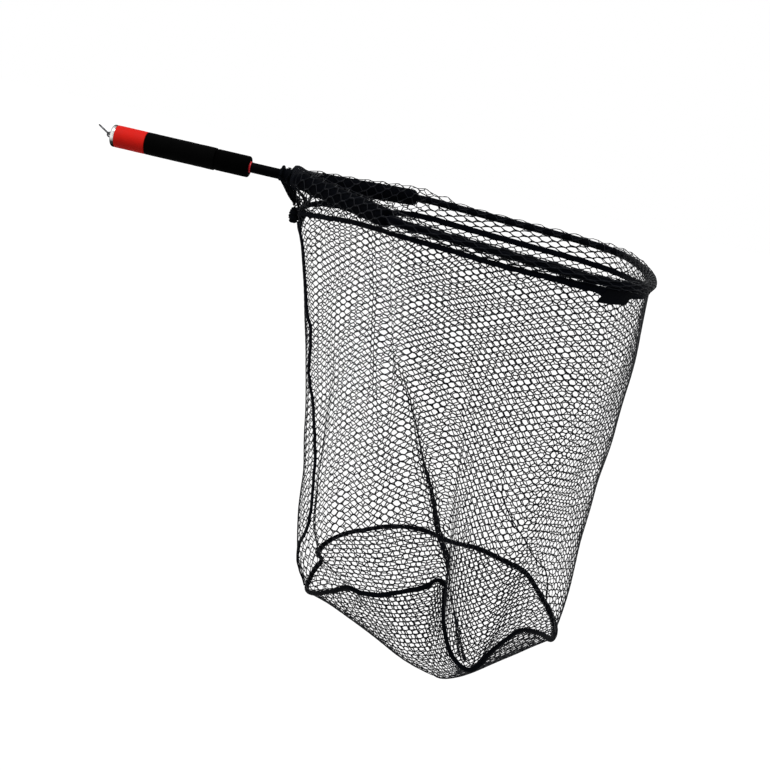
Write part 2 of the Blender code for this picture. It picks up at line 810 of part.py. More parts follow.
def make_base_netting():
    net = paint("base_net", (0.01, 0.011, 0.016), 0.55)
    shape = bmesh.new()
    rows = skin_rings(shape, [[base_panel_point(i, ring) for i in range(column_count)]
                              for ring in base_rings], False)
    shape.faces.new(rows[-1])
    base = add_piece("base_netting", shape, net)
    thicken(base, net_thickness)


def make_base_edge_cord():
    webbing = paint("base_webbing", (0.008, 0.009, 0.014), 0.7)
    rings = []
    for i in range(column_count):
        tangent = base_edge_tangents[i]
        up = square_to(seam_loop[i] - base_edge[i], tangent)
        rings.append(round_section(base_edge[i], tangent.cross(up), up, edge_cord_radius, tube_sides))
    add_piece("base_edge_cord", swept(rings, closed=True), webbing)


def point_down_wall(column, depth_share):
    # Straight from one row of the wall's corners to the next, as its mesh is
    row = next(i for i in range(1, len(wall_rows)) if depth_share <= wall_rows[i])
    share = (depth_share - wall_rows[row - 1]) / (wall_rows[row] - wall_rows[row - 1])
    return wall_point(column, row - 1).lerp(wall_point(column, row), share)


def wall_surface(round_share, depth_share):
    # A point and the outward direction on the bag's side, at any share of the way round
    ends = column_shares[1:] + [1.0]
    column = next(i for i in range(column_count) if round_share <= ends[i])
    share = (round_share - column_shares[column]) / (ends[column] - column_shares[column])
    start = point_down_wall(column, depth_share)
    end = point_down_wall((column + 1) % column_count, depth_share)
    down = (base_edge[column] - seam_loop[column]).normalized()
    return start.lerp(end, share), square_to(level_side(end - start), down)


def make_side_seam_tape():
    webbing = paint("seam_webbing", (0.008, 0.009, 0.014), 0.7)
    seam_length = (base_edge[0] - seam_loop[0]).length
    first = side_seam_top_room / seam_length
    last = 1 - side_seam_foot_room / seam_length
    near_lift = net_thickness / 2 + seam_tape_lift
    far_lift = near_lift + seam_tape_thickness
    rings = []
    steps = [low + (high - low) * step / side_seam_steps
             for low, high in zip(wall_rows, wall_rows[1:]) for step in range(side_seam_steps)]
    for depth_share in [first] + [share for share in steps if first < share < last] + [last]:
        round_share = between(side_seam_route, depth_share)
        girth = seam_girth + (base_girth - seam_girth) * depth_share
        half_share = seam_tape_width / 2 / girth
        left, left_out = wall_surface((round_share - half_share) % 1.0, depth_share)
        right, right_out = wall_surface(round_share + half_share, depth_share)
        rings.append([left + left_out * near_lift, right + right_out * near_lift,
                      right + right_out * far_lift, left + left_out * far_lift])
    add_piece("side_seam_tape", swept(rings), webbing)


def make_gather_knot():
    cord = paint("knot_cord", (0.006, 0.007, 0.012), 0.7)
    shape = bmesh.new()
    bmesh.ops.create_uvsphere(shape, u_segments=14, v_segments=9, radius=1.0)
    for corner in shape.verts:
        corner.co = Vector((corner.co.x * knot_size[0], corner.co.y * knot_size[1],
                            corner.co.z * knot_size[2]))
    x = seam_knot.x - rim_tape_thickness / 2 - seat_gap - knot_size[0]
    add_piece("gather_knot", shape, cord, (x, 0.0, seam_knot.z))


def make_tie_cord(name, top_x, seat_radius, tie_lean, foot_side):
    # A loop over the yoke whose two sides run down to the top of the knot
    cord = paint(name + "_cord", (0.006, 0.007, 0.012), 0.7)
    wrap = seat_radius + tie_cord_radius
    knot_x = seam_knot.x - rim_tape_thickness / 2 - seat_gap - knot_size[0]
    foot_z = seam_knot.z + knot_size[2] + seat_gap + tie_cord_radius
    foot_x = knot_x + foot_side * tie_foot_spread
    route = []
    wrap_start = 90.0 - tie_wrap_degrees / 2
    for step in range(tie_wrap_steps + 1):
        angle = math.radians(wrap_start + tie_wrap_degrees * step / tie_wrap_steps)
        lean = tie_lean * (1 - math.sin(angle))
        route.append(Vector((top_x - lean, wrap * math.cos(angle), wrap * math.sin(angle))))
    first, last = route[0], route[-1]
    foot_half = tie_cord_radius + tie_foot_room
    left = [last.lerp(Vector((foot_x, -foot_half, foot_z)), s) for s in (1 / 3, 2 / 3)]
    right = [first.lerp(Vector((foot_x, foot_half, foot_z)), s) for s in (2 / 3, 1 / 3)]
    foot = [Vector((foot_x, foot_half * math.cos(a), foot_z + foot_half * (1 + math.sin(a))))
            for a in (math.pi, 1.25 * math.pi, 1.5 * math.pi, 1.75 * math.pi, 2 * math.pi)]
    route += left + foot + right
    rings = []
    for centre, tangent in zip(route, tangents(route, closed=True)):
        side = square_to(Vector((1.0, 0.0, 0.0)), tangent)
        rings.append(round_section(centre, side, tangent.cross(side), tie_cord_radius, tube_sides))
    add_piece(name, swept(rings, closed=True), cord)


def make_tag():
    # Each end of the tag follows the tape: its lower edge is sewn square but hangs back by the lean
    satin = paint("tag_satin", (0.005, 0.005, 0.006), 0.5)
    first_x = hoop_front_x - tag_set_back
    near_face = rim_tape_thickness / 2 + seat_gap + tag_stand_off
    step = tag_length / tag_steps
    rings = []
    for i in range(tag_steps + 1):
        ring = []
        for x, height in ((first_x + step * i - tag_lean, tag_overlap - tag_drop),
                          (first_x + step * i, tag_overlap)):
            side = level_side(near_seam_at(x + step / 2) - near_seam_at(x - step / 2))
            seat = near_seam_at(x) + side * near_face + Vector((0, 0, height))
            ring += [seat, seat + side * tag_thickness]
        rings.append([ring[0], ring[1], ring[3], ring[2]])
    add_piece("tag", swept(rings), satin)


def near_seam_at(x):
    # Point of the near rim seam at a given reach
    for a, b in zip(seam_loop, seam_loop[1:]):
        if a.y < 0 and a.x <= x <= b.x:
            return a.lerp(b, (x - a.x) / (b.x - a.x))
    return seam_loop[0].copy()


def build():
    clear_scene()
    make_end_cap()
    make_lanyard_eye()
    make_lanyard_ring()
    make_rear_plug()
    make_handle_tube()
    make_front_plug()
    make_grips()
    make_front_sleeve()
    make_front_collar()
    make_yoke()
    make_screws()
    make_hoop_tube()
    make_floats()
    make_rim_netting()
    make_rim_tape()
    make_wall_netting()
    make_base_netting()
    make_base_edge_cord()
    make_side_seam_tape()
    make_gather_knot()
    make_tie_cord("rear_tie_cord", yoke_x + rear_tie_place, yoke_neck_radius + running_gap,
                  rear_tie_lean, -1)
    make_tie_cord("front_tie_cord", yoke_x + front_tie_place, yoke_radius + front_tie_room,
                  front_tie_lean, 1)
    make_tag()


build()
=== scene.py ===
from bisect import bisect_right
from math import acos, atan2, copysign, cos, exp, hypot, inf, pi, radians, sin, sqrt, tan

import bmesh
import bpy
from bmesh import ops
from mathutils import Matrix, Vector, kdtree, noise


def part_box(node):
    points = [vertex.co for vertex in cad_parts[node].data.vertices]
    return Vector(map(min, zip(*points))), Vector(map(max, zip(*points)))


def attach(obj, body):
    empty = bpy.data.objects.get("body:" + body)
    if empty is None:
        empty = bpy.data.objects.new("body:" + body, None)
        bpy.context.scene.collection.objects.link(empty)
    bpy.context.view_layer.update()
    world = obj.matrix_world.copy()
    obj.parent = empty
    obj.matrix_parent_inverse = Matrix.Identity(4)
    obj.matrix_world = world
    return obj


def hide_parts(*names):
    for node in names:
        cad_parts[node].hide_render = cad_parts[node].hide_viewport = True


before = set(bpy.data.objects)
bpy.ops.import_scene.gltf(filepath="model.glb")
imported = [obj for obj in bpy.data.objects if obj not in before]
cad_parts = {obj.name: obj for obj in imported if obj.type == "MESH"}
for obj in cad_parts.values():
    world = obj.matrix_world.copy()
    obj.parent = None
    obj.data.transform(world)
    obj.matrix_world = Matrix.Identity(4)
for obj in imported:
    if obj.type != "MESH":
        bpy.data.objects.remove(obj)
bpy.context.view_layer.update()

# Floating landing net: handle along +X, hoop in front of it, bag of coated netting below.
# All lengths are in metres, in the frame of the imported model.

up = Vector((0.0, 0.0, 1.0))
noise.seed_set(7)       # the unevenness of cells and tapes comes out the same in every run


# Colours and shader nodes

def hexColour(code):
    # An sRGB hex value as linear red, green, blue and alpha
    parts = [int(code[i:i + 2], 16) / 255 for i in (1, 3, 5)]
    return (*(part / 12.92 if part <= 0.04045 else ((part + 0.055) / 1.055) ** 2.4 for part in parts), 1.0)


def addNode(owner, kind, settings=None, links=None):
    # Adds a node; small names are its properties, other names and numbers are its sockets
    node = owner.node_tree.nodes.new("ShaderNode" + kind)
    for name, value in (settings or {}).items():
        if isinstance(name, str) and name[0].islower():
            setattr(node, name, value)
        else:
            node.inputs[name].default_value = value
    for name, source in (links or {}).items():
        owner.node_tree.links.new(source, node.inputs[name])
    return node


def startMaterial(name, look, coordinates="Object"):
    # A Principled material with a look's colour and finish, and the link that its patterns follow
    material = bpy.data.materials.new(name)
    material.use_nodes = True
    sockets = {"Base Color": hexColour(look["colour"]), "Roughness": look["roughness"]}
    if "edge" in look:      # a metal and its colour at a glancing angle
        sockets.update({"Metallic": 1.0, "Specular Tint": hexColour(look["edge"])})
    else:
        sockets.update({"IOR": look.get("ior", 1.5), "Specular IOR Level": look["level"]})
    for socket, value in sockets.items():
        material.node_tree.nodes["Principled BSDF"].inputs[socket].default_value = value
    return material, {"Vector": addNode(material, "TexCoord").outputs[coordinates]}


def joinPatterns(material, look, tint=None, rough=None, bump=None):
    # tint mixes two colours; rough is a pattern and its ranges; bump is a pattern, a strength and a height
    joined = {}
    if tint:
        colours = (look["shade"], look["colour"]) if "shade" in look else (look["colour"], look["worn"])
        mix = {"data_type": "RGBA", 6: hexColour(colours[0]), 7: hexColour(colours[1])}
        joined["Base Color"] = addNode(material, "Mix", mix, {0: tint}).outputs[2]
    if rough:
        ranges = dict(enumerate(rough[1:], 1))
        joined["Roughness"] = addNode(material, "MapRange", ranges, {0: rough[0]}).outputs[0]
    if bump:
        relief = {"Strength": bump[1], "Distance": bump[2]}
        joined["Normal"] = addNode(material, "Bump", relief, {"Height": bump[0]}).outputs[0]
    for socket, source in joined.items():
        material.node_tree.links.new(source, material.node_tree.nodes["Principled BSDF"].inputs[socket])
    return material


# Materials, each under its slot and named for what the real one is

metalLooks = {
    # The cap's second colour and its heights make a painted reflection: dark grey-green below and near the
    # top of the cap
    "polished_cap": {"name": "chromePlatedCap", "colour": "#e6e7e5", "edge": "#39423d", "roughness": 0.07,
                     "worn": "#2c3330", "wornHeights": ((-0.001, -0.008, 0, 1), (0.013, 0.0165, 0, 0.7))},
    "ring_steel": {"name": "polishedSteelWire", "colour": "#5a5b5e", "edge": "#1c1d1f", "roughness": 0.16},
    "screw_steel": {"name": "blackenedScrewSteel", "colour": "#26272a", "edge": "#101113",
                    "roughness": 0.35},
}


def platedMetal(look):
    # Bright plating: mirror-like, with a few duller smears of 6 mm or so from handling
    material, place = startMaterial(look["name"], look)
    smear = addNode(material, "TexNoise", {"Scale": 1 / 0.006, "Detail": 3.0}, place)
    worn = None
    if "worn" in look:      # painted reflection: the cap's colour goes dark grey-green below and a little at its top, in place of the dark surroundings it would mirror
        height = addNode(material, "SeparateXYZ", links=place).outputs["Z"]
        ends = [addNode(material, "MapRange", dict(enumerate(span, 1)), {0: height}).outputs[0]
                for span in look["wornHeights"]]
        worn = addNode(material, "Math", {"operation": "MAXIMUM"},
                       dict(enumerate(ends))).outputs[0]
    return joinPatterns(material, look, worn, (smear.outputs[0], 0.45, 0.75, look["roughness"], 0.16))


foamLooks = {
    "red_foam": {"name": "redEvaFoam", "colour": "#dd1c12", "shade": "#c4150c", "roughness": 0.62,
                 "coarse": 0.30, "ior": 1.45, "level": 0.12},
    "black_foam": {"name": "blackEvaFoam", "colour": "#040404", "shade": "#010101", "roughness": 0.80,
                   "coarse": 0.30, "ior": 1.45, "level": 0.02},
    "float_foam": {"name": "floatFoam", "colour": "#05060a", "shade": "#010204", "roughness": 0.85,
                   "coarse": 0.45, "ior": 1.45, "level": 0.02},
}
foamCell = 0.0011       # cut cells of the ground foam are 0.3 to 0.5 mm; drawn about 1 mm so that they show


def groundEvaFoam(look):
    # Closed-cell foam turned on a sanding belt: matt, with fine open pores and soft mottling
    material, place = startMaterial(look["name"], look)
    pores = addNode(material, "TexVoronoi", {"Scale": 1 / foamCell}, place)
    mottle = addNode(material, "TexNoise", {"Scale": 1 / 0.009, "Detail": 4.0}, place).outputs[0]
    return joinPatterns(material, look, mottle,
                        (mottle, 0.3, 0.7, look["roughness"] - 0.06, look["roughness"] + 0.10),
                        (pores.outputs["Distance"], look["coarse"], 0.0002))


smoothLooks = {
    "sleeve_rubber": {"name": "mouldedSleeveRubber", "colour": "#010101", "roughness": 0.75, "level": 0.01,
                      "grain": 0.0008, "relief": 0.22},
    "collar_red": {"name": "redMouldedCollar", "colour": "#c81826", "roughness": 0.35, "level": 0.30,
                   "grain": 0.0016, "relief": 0.05},
    "yoke_nylon": {"name": "glassFilledNylonYoke", "colour": "#020306", "roughness": 0.70, "level": 0.02,
                   "grain": 0.0009, "relief": 0.20},
    "plug_nylon": {"name": "plugNylon", "colour": "#33332f", "roughness": 0.60, "level": 0.30,
                   "grain": 0.0010, "relief": 0.10},
    "shaft_paint": {"name": "powderCoatedShaft", "colour": "#010102", "roughness": 0.60, "level": 0.015,
                    "grain": 0.0007, "relief": 0.06},
    "hoop_paint": {"name": "powderCoatedHoop", "colour": "#010206", "roughness": 0.45, "level": 0.02,
                   "grain": 0.0007, "relief": 0.06},
}


def mouldedOrCoated(look):
    # Moulded nylon and rubber, or powder coat on tube: even colour, a fine orange-peel or spark grain
    material, place = startMaterial(look["name"], look)
    grain = addNode(material, "TexNoise", {"Scale": 1 / look["grain"], "Detail": 2.0}, place)
    scuff = addNode(material, "TexNoise",
                    {"Scale": 1 / 0.018, "Detail": 5.0, "Roughness": 0.65}, place)
    return joinPatterns(material, look, None,
                        (scuff.outputs[0], 0.35, 0.7, look["roughness"] - 0.05, look["roughness"] + 0.14),
                        (grain.outputs[0], look["relief"], 0.0001))


netLooks = {"coated_net": {"name": "dippedNetTwine", "colour": "#010206", "worn": "#04070f",
                           "roughness": 0.5, "level": 0.08, "lay": 0.0016}}


def dippedNetTwine(look):
    # Braided nylon dipped in soft coating: blue-black, half gloss, with the braid just felt below
    material, place = startMaterial(look["name"], look)
    patch = addNode(material, "TexNoise", {"Scale": 1 / 0.03, "Detail": 3.0}, place)
    lay = addNode(material, "TexNoise", {"Scale": 1 / look["lay"], "Detail": 1.0}, place)
    return joinPatterns(material, look, patch.outputs[0], bump=(lay.outputs[0], 0.3, 0.0003))


# Bands of yarn: how far apart they lie, their direction and their slant in degrees
wovenLooks = {
    # Flat woven tape: cross ribs every 1.4 mm and fine lengthwise yarns, with a dull sheen
    "webbing": {"name": "wovenNylonTape", "colour": "#010206", "worn": "#060810", "roughness": 0.75,
                "level": 0.03, "relief": (0.6, 0.0003), "bands": ((0.0014, "Y", 0), (0.0011, "X", 0))},
    # Round braid: two sets of yarns cross at a slant every 2 mm or so
    "cord": {"name": "braidedNylonCord", "colour": "#010204", "worn": "#04060c", "roughness": 0.7,
             "level": 0.03, "relief": (0.7, 0.0004), "bands": ((0.0022, "X", 35), (0.0022, "X", -35))},
    # Damask label cloth: fine level picks that catch a soft gloss, cut bare with no lettering
    "tag_satin": {"name": "wovenSatinLabel", "colour": "#020305", "worn": "#06070a", "roughness": 0.6,
                  "level": 0.02, "relief": (0.35, 0.0002), "bands": ((0.0009, "Y", 0),), "distortion": 1.5},
}


def wovenNylon(look):
    material, place = startMaterial(look["name"], look, "UV")
    weave = None
    for spacing, direction, slant in look["bands"]:
        turned = addNode(material, "Mapping", {"Rotation": (0.0, 0.0, radians(slant))}, place)
        wave = {"Scale": pi / 10 / spacing, "bands_direction": direction,
                "Distortion": look.get("distortion", 0.0)}
        band = addNode(material, "TexWave", wave, {"Vector": turned.outputs[0]}).outputs["Fac"]
        weave = addNode(material, "Math", {"operation": "MULTIPLY"},
                        {0: weave, 1: band}).outputs[0] if weave else band
    return joinPatterns(material, look, weave, bump=(weave, *look["relief"]))


finishes = {}
for looks, makeFinish in ((metalLooks, platedMetal), (foamLooks, groundEvaFoam),
                          (smoothLooks, mouldedOrCoated), (netLooks, dippedNetTwine),
                          (wovenLooks, wovenNylon)):
    for slot, look in looks.items():
        finishes[slot] = makeFinish(look)
finishes["eye_steel"] = finishes["ring_steel"]
print("materials are ready")


# Mesh helpers

def placeObject(name, data):
    placed = bpy.data.objects.new(name, data)
    bpy.context.scene.collection.objects.link(placed)
    return placed


def placeMesh(name, shape, material):
    mesh = bpy.data.meshes.new(name)
    shape.to_mesh(mesh)
    shape.free()
    mesh.materials.append(material)
    return placeObject(name, mesh)


def finishPiece(name, shape, slot, *nodes, finish=None, body="net", sharpDegrees=40.0):
    # Cords and netting are smooth all over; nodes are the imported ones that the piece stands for
    finish = finish or slot
    piece = placeMesh(name, shape, finishes[finish])
    piece.data.shade_smooth()
    sharpDegrees = 180.0 if finish in ("coated_net", "cord") else sharpDegrees
    piece.data.set_sharp_from_angle(angle=radians(sharpDegrees))
    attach(piece, body)
    if nodes:
        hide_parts(*nodes)
    return piece


def faceOutwards(shape):
    ops.recalc_face_normals(shape, faces=shape.faces)
    if shape.calc_volume(signed=True) < 0:
        ops.reverse_faces(shape, faces=shape.faces)


def formedSheet(columns, rows, place, size):
    # A grid whose corners are put in place by their shares across and along; its UVs are in metres
    shape = bmesh.new()
    shape.loops.layers.uv.verify()
    ops.create_grid(shape, x_segments=columns, y_segments=rows, size=0.5, calc_uvs=True)
    layer = shape.loops.layers.uv.active
    for face in shape.faces:
        for loop in face.loops:
            loop[layer].uv = (loop[layer].uv.x * size[0], loop[layer].uv.y * size[1])
    for corner in shape.verts:
        corner.co = place(corner.co.x + 0.5, corner.co.y + 0.5)
    ops.remove_doubles(shape, verts=shape.verts, dist=1e-6)
    return shape


def spinRound(shape, axis, steps):
    # Spins an outline once round an axis into a closed skin
    ops.spin(shape, geom=shape.verts[:] + shape.edges[:], cent=(0.0, 0.0, 0.0), axis=axis, angle=2 * pi,
             steps=steps, use_merge=True)
    ops.remove_doubles(shape, verts=shape.verts, dist=1e-6)
    ops.delete(shape, geom=[edge for edge in shape.edges if not edge.link_faces], context="EDGES")
    faceOutwards(shape)
    return shape


def turnedShape(outline, steps=96):
    # Spins an outline of (x, radius) corners about the handle's axis
    shape = bmesh.new()
    corners = [shape.verts.new((x, 0.0, radius)) for x, radius in outline]
    for i in range(len(corners)):
        shape.edges.new((corners[i - 1], corners[i]))
    return spinRound(shape, (1.0, 0.0, 0.0), steps)


def roundedSleeve(startX, endX, radius, bore, rounding, steps=5):
    # Outline of a tube whose outer edges are rounded
    outline = [(startX, bore), (endX, bore)]
    for cornerX, first in ((endX - rounding, 0.0), (startX + rounding, 90.0)):
        for step in range(steps + 1):
            angle = radians(first + 90.0 * step / steps)
            outline.append((cornerX + rounding * cos(angle), radius - rounding + rounding * sin(angle)))
    return outline


def waverSkin(shape, radius, cuts, frequency, depth):
    # Ground foam is never quite true: its long runs are cut up, and its skin sinks in here and there
    runs = [edge for edge in shape.edges if abs(edge.verts[0].co.x - edge.verts[1].co.x) > 0.01]
    ops.subdivide_edges(shape, edges=runs, cuts=cuts)
    for corner in shape.verts:
        if hypot(corner.co.y, corner.co.z) > radius * 0.9:
            dent = (noise.noise(corner.co * frequency) - 1.0) * depth
            corner.co += Vector((0.0, corner.co.y, corner.co.z)).normalized() * dent


# Paths

def clamp(value):
    return min(1.0, max(0.0, value))


def makeTrace(points, closed=False):
    points = list(points) + ([points[0].copy()] if closed else [])
    marks = [0.0]
    for a, b in zip(points, points[1:]):
        marks.append(marks[-1] + (b - a).length)
    return {"points": points, "marks": marks, "length": marks[-1]}


def onTrace(trace, distance):
    i = min(max(bisect_right(trace["marks"], distance) - 1, 0), len(trace["points"]) - 2)
    start, end = trace["marks"][i:i + 2]
    return trace["points"][i].lerp(trace["points"][i + 1],
                                   0.0 if end == start else clamp((distance - start) / (end - start)))


def onLoop(trace, share):
    return onTrace(trace, (share % 1.0) * trace["length"])


def loopTangent(trace, share):
    return (onLoop(trace, share + 0.002) - onLoop(trace, share - 0.002)).normalized()


def curveValue(table, place):
    # Reads a smooth curve through a table of (place, value) pairs
    i = min(max(bisect_right(table, (place, inf)) - 1, 0), len(table) - 2)
    (x0, y0), (x1, y1) = table[i:i + 2]
    before, after = table[max(i - 1, 0)], table[min(i + 2, len(table) - 1)]
    run = x1 - x0
    t = clamp((place - x0) / run)
    slopeIn = (y1 - before[1]) / (x1 - before[0]) * run
    slopeOut = (after[1] - y0) / (after[0] - x0) * run
    return (y0 * (2 * t ** 3 - 3 * t ** 2 + 1) + slopeIn * (t ** 3 - 2 * t ** 2 + t)
            + y1 * (3 * t ** 2 - 2 * t ** 3) + slopeOut * (t ** 3 - t ** 2))


def smoothLoop(route, steps):
    # A smooth closed curve through the route's points
    curve = []
    for i in range(len(route)):
        before, start, end, after = (route[(i + k) % len(route)] for k in (-1, 0, 1, 2))
        for t in (step / steps for step in range(steps)):
            curve.append(0.5 * (2 * start + (end - before) * t
                                + (2 * before - 5 * start + 4 * end - after) * t ** 2
                                + (3 * start - before - 3 * end + after) * t ** 3))
    return curve


def roundedCorner(before, corner, after, radius, steps):
    back, ahead = (before - corner).normalized(), (after - corner).normalized()
    half = back.angle(ahead) / 2
    centre = corner + (back + ahead).normalized() * (radius / sin(half))
    start, end = (corner + way * (radius / tan(half)) - centre for way in (back, ahead))
    turn = start.angle(end)
    return [centre + (start * sin((1 - i / steps) * turn) + end * sin(i / steps * turn)) / sin(turn)
            for i in range(steps + 1)]


def squareTo(direction, tangent):
    return (direction - tangent * direction.dot(tangent)).normalized()


def levelSide(tangent):
    return Vector((tangent.y, -tangent.x, 0.0)).normalized()


def sweep(route, columns, sides, closed, around, reachOfStep, corner):
    # Sweeps a section along a route: corner(centre, tangent, angle, distance, share along) gives a point
    trace = makeTrace(route, closed)
    reach = trace["length"]
    step = reach / columns * reachOfStep

    def place(across, along):
        distance = along * reach
        ends = [distance + step, distance - step]
        ahead, behind = (onTrace(trace, end % reach if closed else end) for end in ends)
        tangent = (ahead - behind).normalized()
        return corner(onTrace(trace, distance), tangent, 2 * pi * across, distance, along)

    shape = formedSheet(sides, columns, place, (around, reach))
    if not closed:
        ops.holes_fill(shape, edges=[edge for edge in shape.edges if edge.is_boundary])
    faceOutwards(shape)
    return shape


def sweptTube(route, radius, columns, sides, closed=False, lumps=None):
    # A round bar along a route of points, with UVs in metres for a braid
    def corner(centre, tangent, angle, distance, along):
        side = tangent.cross(up if abs(tangent.z) < 0.9 else Vector((1.0, 0.0, 0.0))).normalized()
        size = radius * (lumps(distance, angle) if lumps else 1.0)
        return centre + (side * cos(angle) + tangent.cross(side) * sin(angle)) * size

    return sweep(route, columns, sides, closed, 2 * pi * radius, 0.5, corner)


# Handle: cap, ring, grips and tube

capLow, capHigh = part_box("end_cap")
capDesign = {"flatRadius": 0.0125, "bore": 0.0016, "edgeSteps": 10, "dish": 0.0006, "groove": 0.0004,
             "shoulder": 0.0038}


def makeEndCap():
    # Turned cap with a rounded shoulder, a shallow dish in its face and a fine groove before the foam
    design, startX, endX, radius = capDesign, capLow.x, capHigh.x, capHigh.z
    dishX, grooveRadius = startX + design["dish"], radius - design["groove"]
    outline = [(dishX, design["bore"]), (endX, design["bore"]), (endX, grooveRadius),
               (endX - 0.0009, grooveRadius), (endX - 0.0011, radius)]
    for step in range(design["edgeSteps"] + 1):
        angle = radians(90.0 * step / design["edgeSteps"])
        outline.append((startX + design["shoulder"] * (1 - sin(angle)),
                        design["flatRadius"] + (radius - design["flatRadius"]) * cos(angle)))
    outline += [(startX + design["dish"] * 0.3, 0.0108), (dishX, 0.0098)]
    finishPiece("endCap", turnedShape(outline), "polished_cap", "end_cap", sharpDegrees=30.0)


eyeDesign = {"wireRadius": 0.0013, "holeRadius": 0.0019, "shankLength": 0.014, "steps": 48}
ringDesign = {"wireRadius": 0.0011, "outerRadius": 0.0116, "liftDegrees": 32, "cantDegrees": -13,
              "steps": 96}
wireSides = 16
eyeX = capLow.x - 0.0005 - eyeDesign["holeRadius"] - 2 * eyeDesign["wireRadius"]


def wireRing(radius, design):
    # A closed wire ring about the Z axis
    shape = bmesh.new()
    ops.create_circle(shape, segments=wireSides, radius=design["wireRadius"],
                      matrix=Matrix.Translation((radius, 0.0, 0.0)) @ Matrix.Rotation(pi / 2, 4, "X"))
    return spinRound(shape, up, design["steps"])


def makeLanyardEye():
    length, wire = eyeDesign["shankLength"], eyeDesign["wireRadius"]
    radius = eyeDesign["holeRadius"] + wire
    shape = wireRing(radius, eyeDesign)
    ops.rotate(shape, verts=shape.verts, cent=(0.0, 0.0, 0.0), matrix=Matrix.Rotation(pi / 2, 3, "X"))
    turn = Matrix.Translation((radius + length / 2, 0.0, 0.0)) @ Matrix.Rotation(pi / 2, 4, "Y")
    ops.create_cone(shape, cap_ends=True, segments=wireSides, radius1=wire, radius2=wire, depth=length,
                    matrix=turn)
    ops.translate(shape, verts=shape.verts, vec=(eyeX, 0.0, 0.0))
    finishPiece("lanyardEye", shape, "eye_steel", "lanyard_eye")


def makeLanyardRing():
    radius = ringDesign["outerRadius"] - ringDesign["wireRadius"]
    lift, cant = (radians(ringDesign[name]) for name in ("liftDegrees", "cantDegrees"))
    shape = wireRing(radius, ringDesign)
    turn = (Matrix.Translation((eyeX, 0.0, 0.0)) @ Matrix.Rotation(lift, 4, "Y")
            @ Matrix.Rotation(cant, 4, "X") @ Matrix.Translation((-radius, 0.0, 0.0)))
    ops.transform(shape, matrix=turn, verts=shape.verts)
    finishPiece("lanyardRing", shape, "ring_steel", "lanyard_ring", body="lanyard_ring")


gripDesign = {"bore": 0.0083, "foamRounding": 0.0011, "sleeveRounding": 0.0034, "waver": 0.00018,
              "lipRadius": 0.0102, "setBack": 0.0012, "collarRadius": 0.0089}


def makeFoamGrip(name, node):
    low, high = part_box(node)
    shape = turnedShape(roundedSleeve(low.x, high.x, high.z, gripDesign["bore"], gripDesign["foamRounding"]))
    waverSkin(shape, high.z, max(4, round((high.x - low.x) / 0.003)), 90.0, gripDesign["waver"])
    faceOutwards(shape)
    finishPiece(name, shape, "red_foam" if node == "butt_grip" else "black_foam", node)


def makeFrontSleeve():
    # Rubber sleeve, narrower than the foam, with a rounded front edge round the collar's seat
    low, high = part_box("front_sleeve")
    collarLow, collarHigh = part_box("front_collar")
    endX, bore, lipRadius = high.x - gripDesign["setBack"], gripDesign["bore"], gripDesign["lipRadius"]
    seatX, seatRadius = collarLow.x - 0.0003, collarHigh.z + 0.0003
    outline = roundedSleeve(low.x, endX, high.z, bore, gripDesign["sleeveRounding"], 8)
    outline[1:2] = [(seatX, bore), (seatX, seatRadius), (endX - 0.0013, seatRadius),
                    (endX - 0.0011, lipRadius + 0.0002), (endX - 0.0008, lipRadius),
                    (endX - 0.0004, lipRadius + 0.0001), (endX, lipRadius + 0.0006)]
    finishPiece("frontSleeve", turnedShape(outline), "sleeve_rubber", "front_sleeve", sharpDegrees=30.0)


def makeFrontCollar():
    # A flange that the sleeve holds, and a red neck that stands out of it round the tube
    low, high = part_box("front_collar")
    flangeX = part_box("front_sleeve")[1].x - gripDesign["setBack"] - 0.0017
    neck = gripDesign["collarRadius"]
    outline = roundedSleeve(low.x, high.x + 0.0004, neck, gripDesign["bore"], 0.0006, 5)[:8]
    outline += [(flangeX, neck), (flangeX, high.z), (low.x, high.z)]
    finishPiece("frontCollar", turnedShape(outline), "collar_red", "front_collar")


def makeHandleTube():
    low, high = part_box("handle_tube")
    outline = roundedSleeve(low.x, high.x, high.z, high.z - 0.0012, 0.0003, 2)
    finishPiece("handleTube", turnedShape(outline), "shaft_paint", "handle_tube")


makeEndCap()
makeLanyardEye()
makeLanyardRing()
makeFoamGrip("buttGrip", "butt_grip")
makeFoamGrip("mainGrip", "main_grip")
makeFrontSleeve()
makeFrontCollar()
makeHandleTube()
print("handle is made")


# Yoke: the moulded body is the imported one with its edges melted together, as a mould leaves them

yokeDesign = {"voxel": 0.0007, "smoothing": 6}


def makeYoke():
    shape = bmesh.new()
    shape.from_mesh(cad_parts["yoke"].data)
    ops.remove_doubles(shape, verts=shape.verts, dist=1e-5)
    yoke = finishPiece("yokeBody", shape, "yoke_nylon", "yoke")
    remesh = yoke.modifiers.new("skin", "REMESH")
    remesh.mode = "VOXEL"
    remesh.voxel_size = yokeDesign["voxel"]
    remesh.use_smooth_shade = True
    relax = yoke.modifiers.new("soften", "SMOOTH")
    relax.factor = 0.5
    relax.iterations = yokeDesign["smoothing"]


makeYoke()
for nodeName in ("rear_plug", "front_plug", "shaft_screw", "arm_screw_near", "arm_screw_far"):
    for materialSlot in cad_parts[nodeName].material_slots:
        materialSlot.material = finishes["plug_nylon" if "plug" in nodeName else "screw_steel"]
print("yoke is made")


# Hoop: the path of its tube, and how the netting hangs from it

hoopDesign = {
    "apexX": 0.17885, "length": 0.564, "frontBow": 0.034, "kneeReach": 0.1926, "kneeHalfWidth": 0.2115,
    "tipHalfWidth": 0.24, "kneeBend": 0.045, "tipBend": 0.09, "droopDegrees": 2.2, "tubeStart": 0.014,
    "tubeRadius": 0.006, "socketLength": 0.02, "floatRadius": 0.014, "floatKneeRoom": 0.009, "steps": 260,
}
droopAngle = radians(hoopDesign["droopDegrees"])


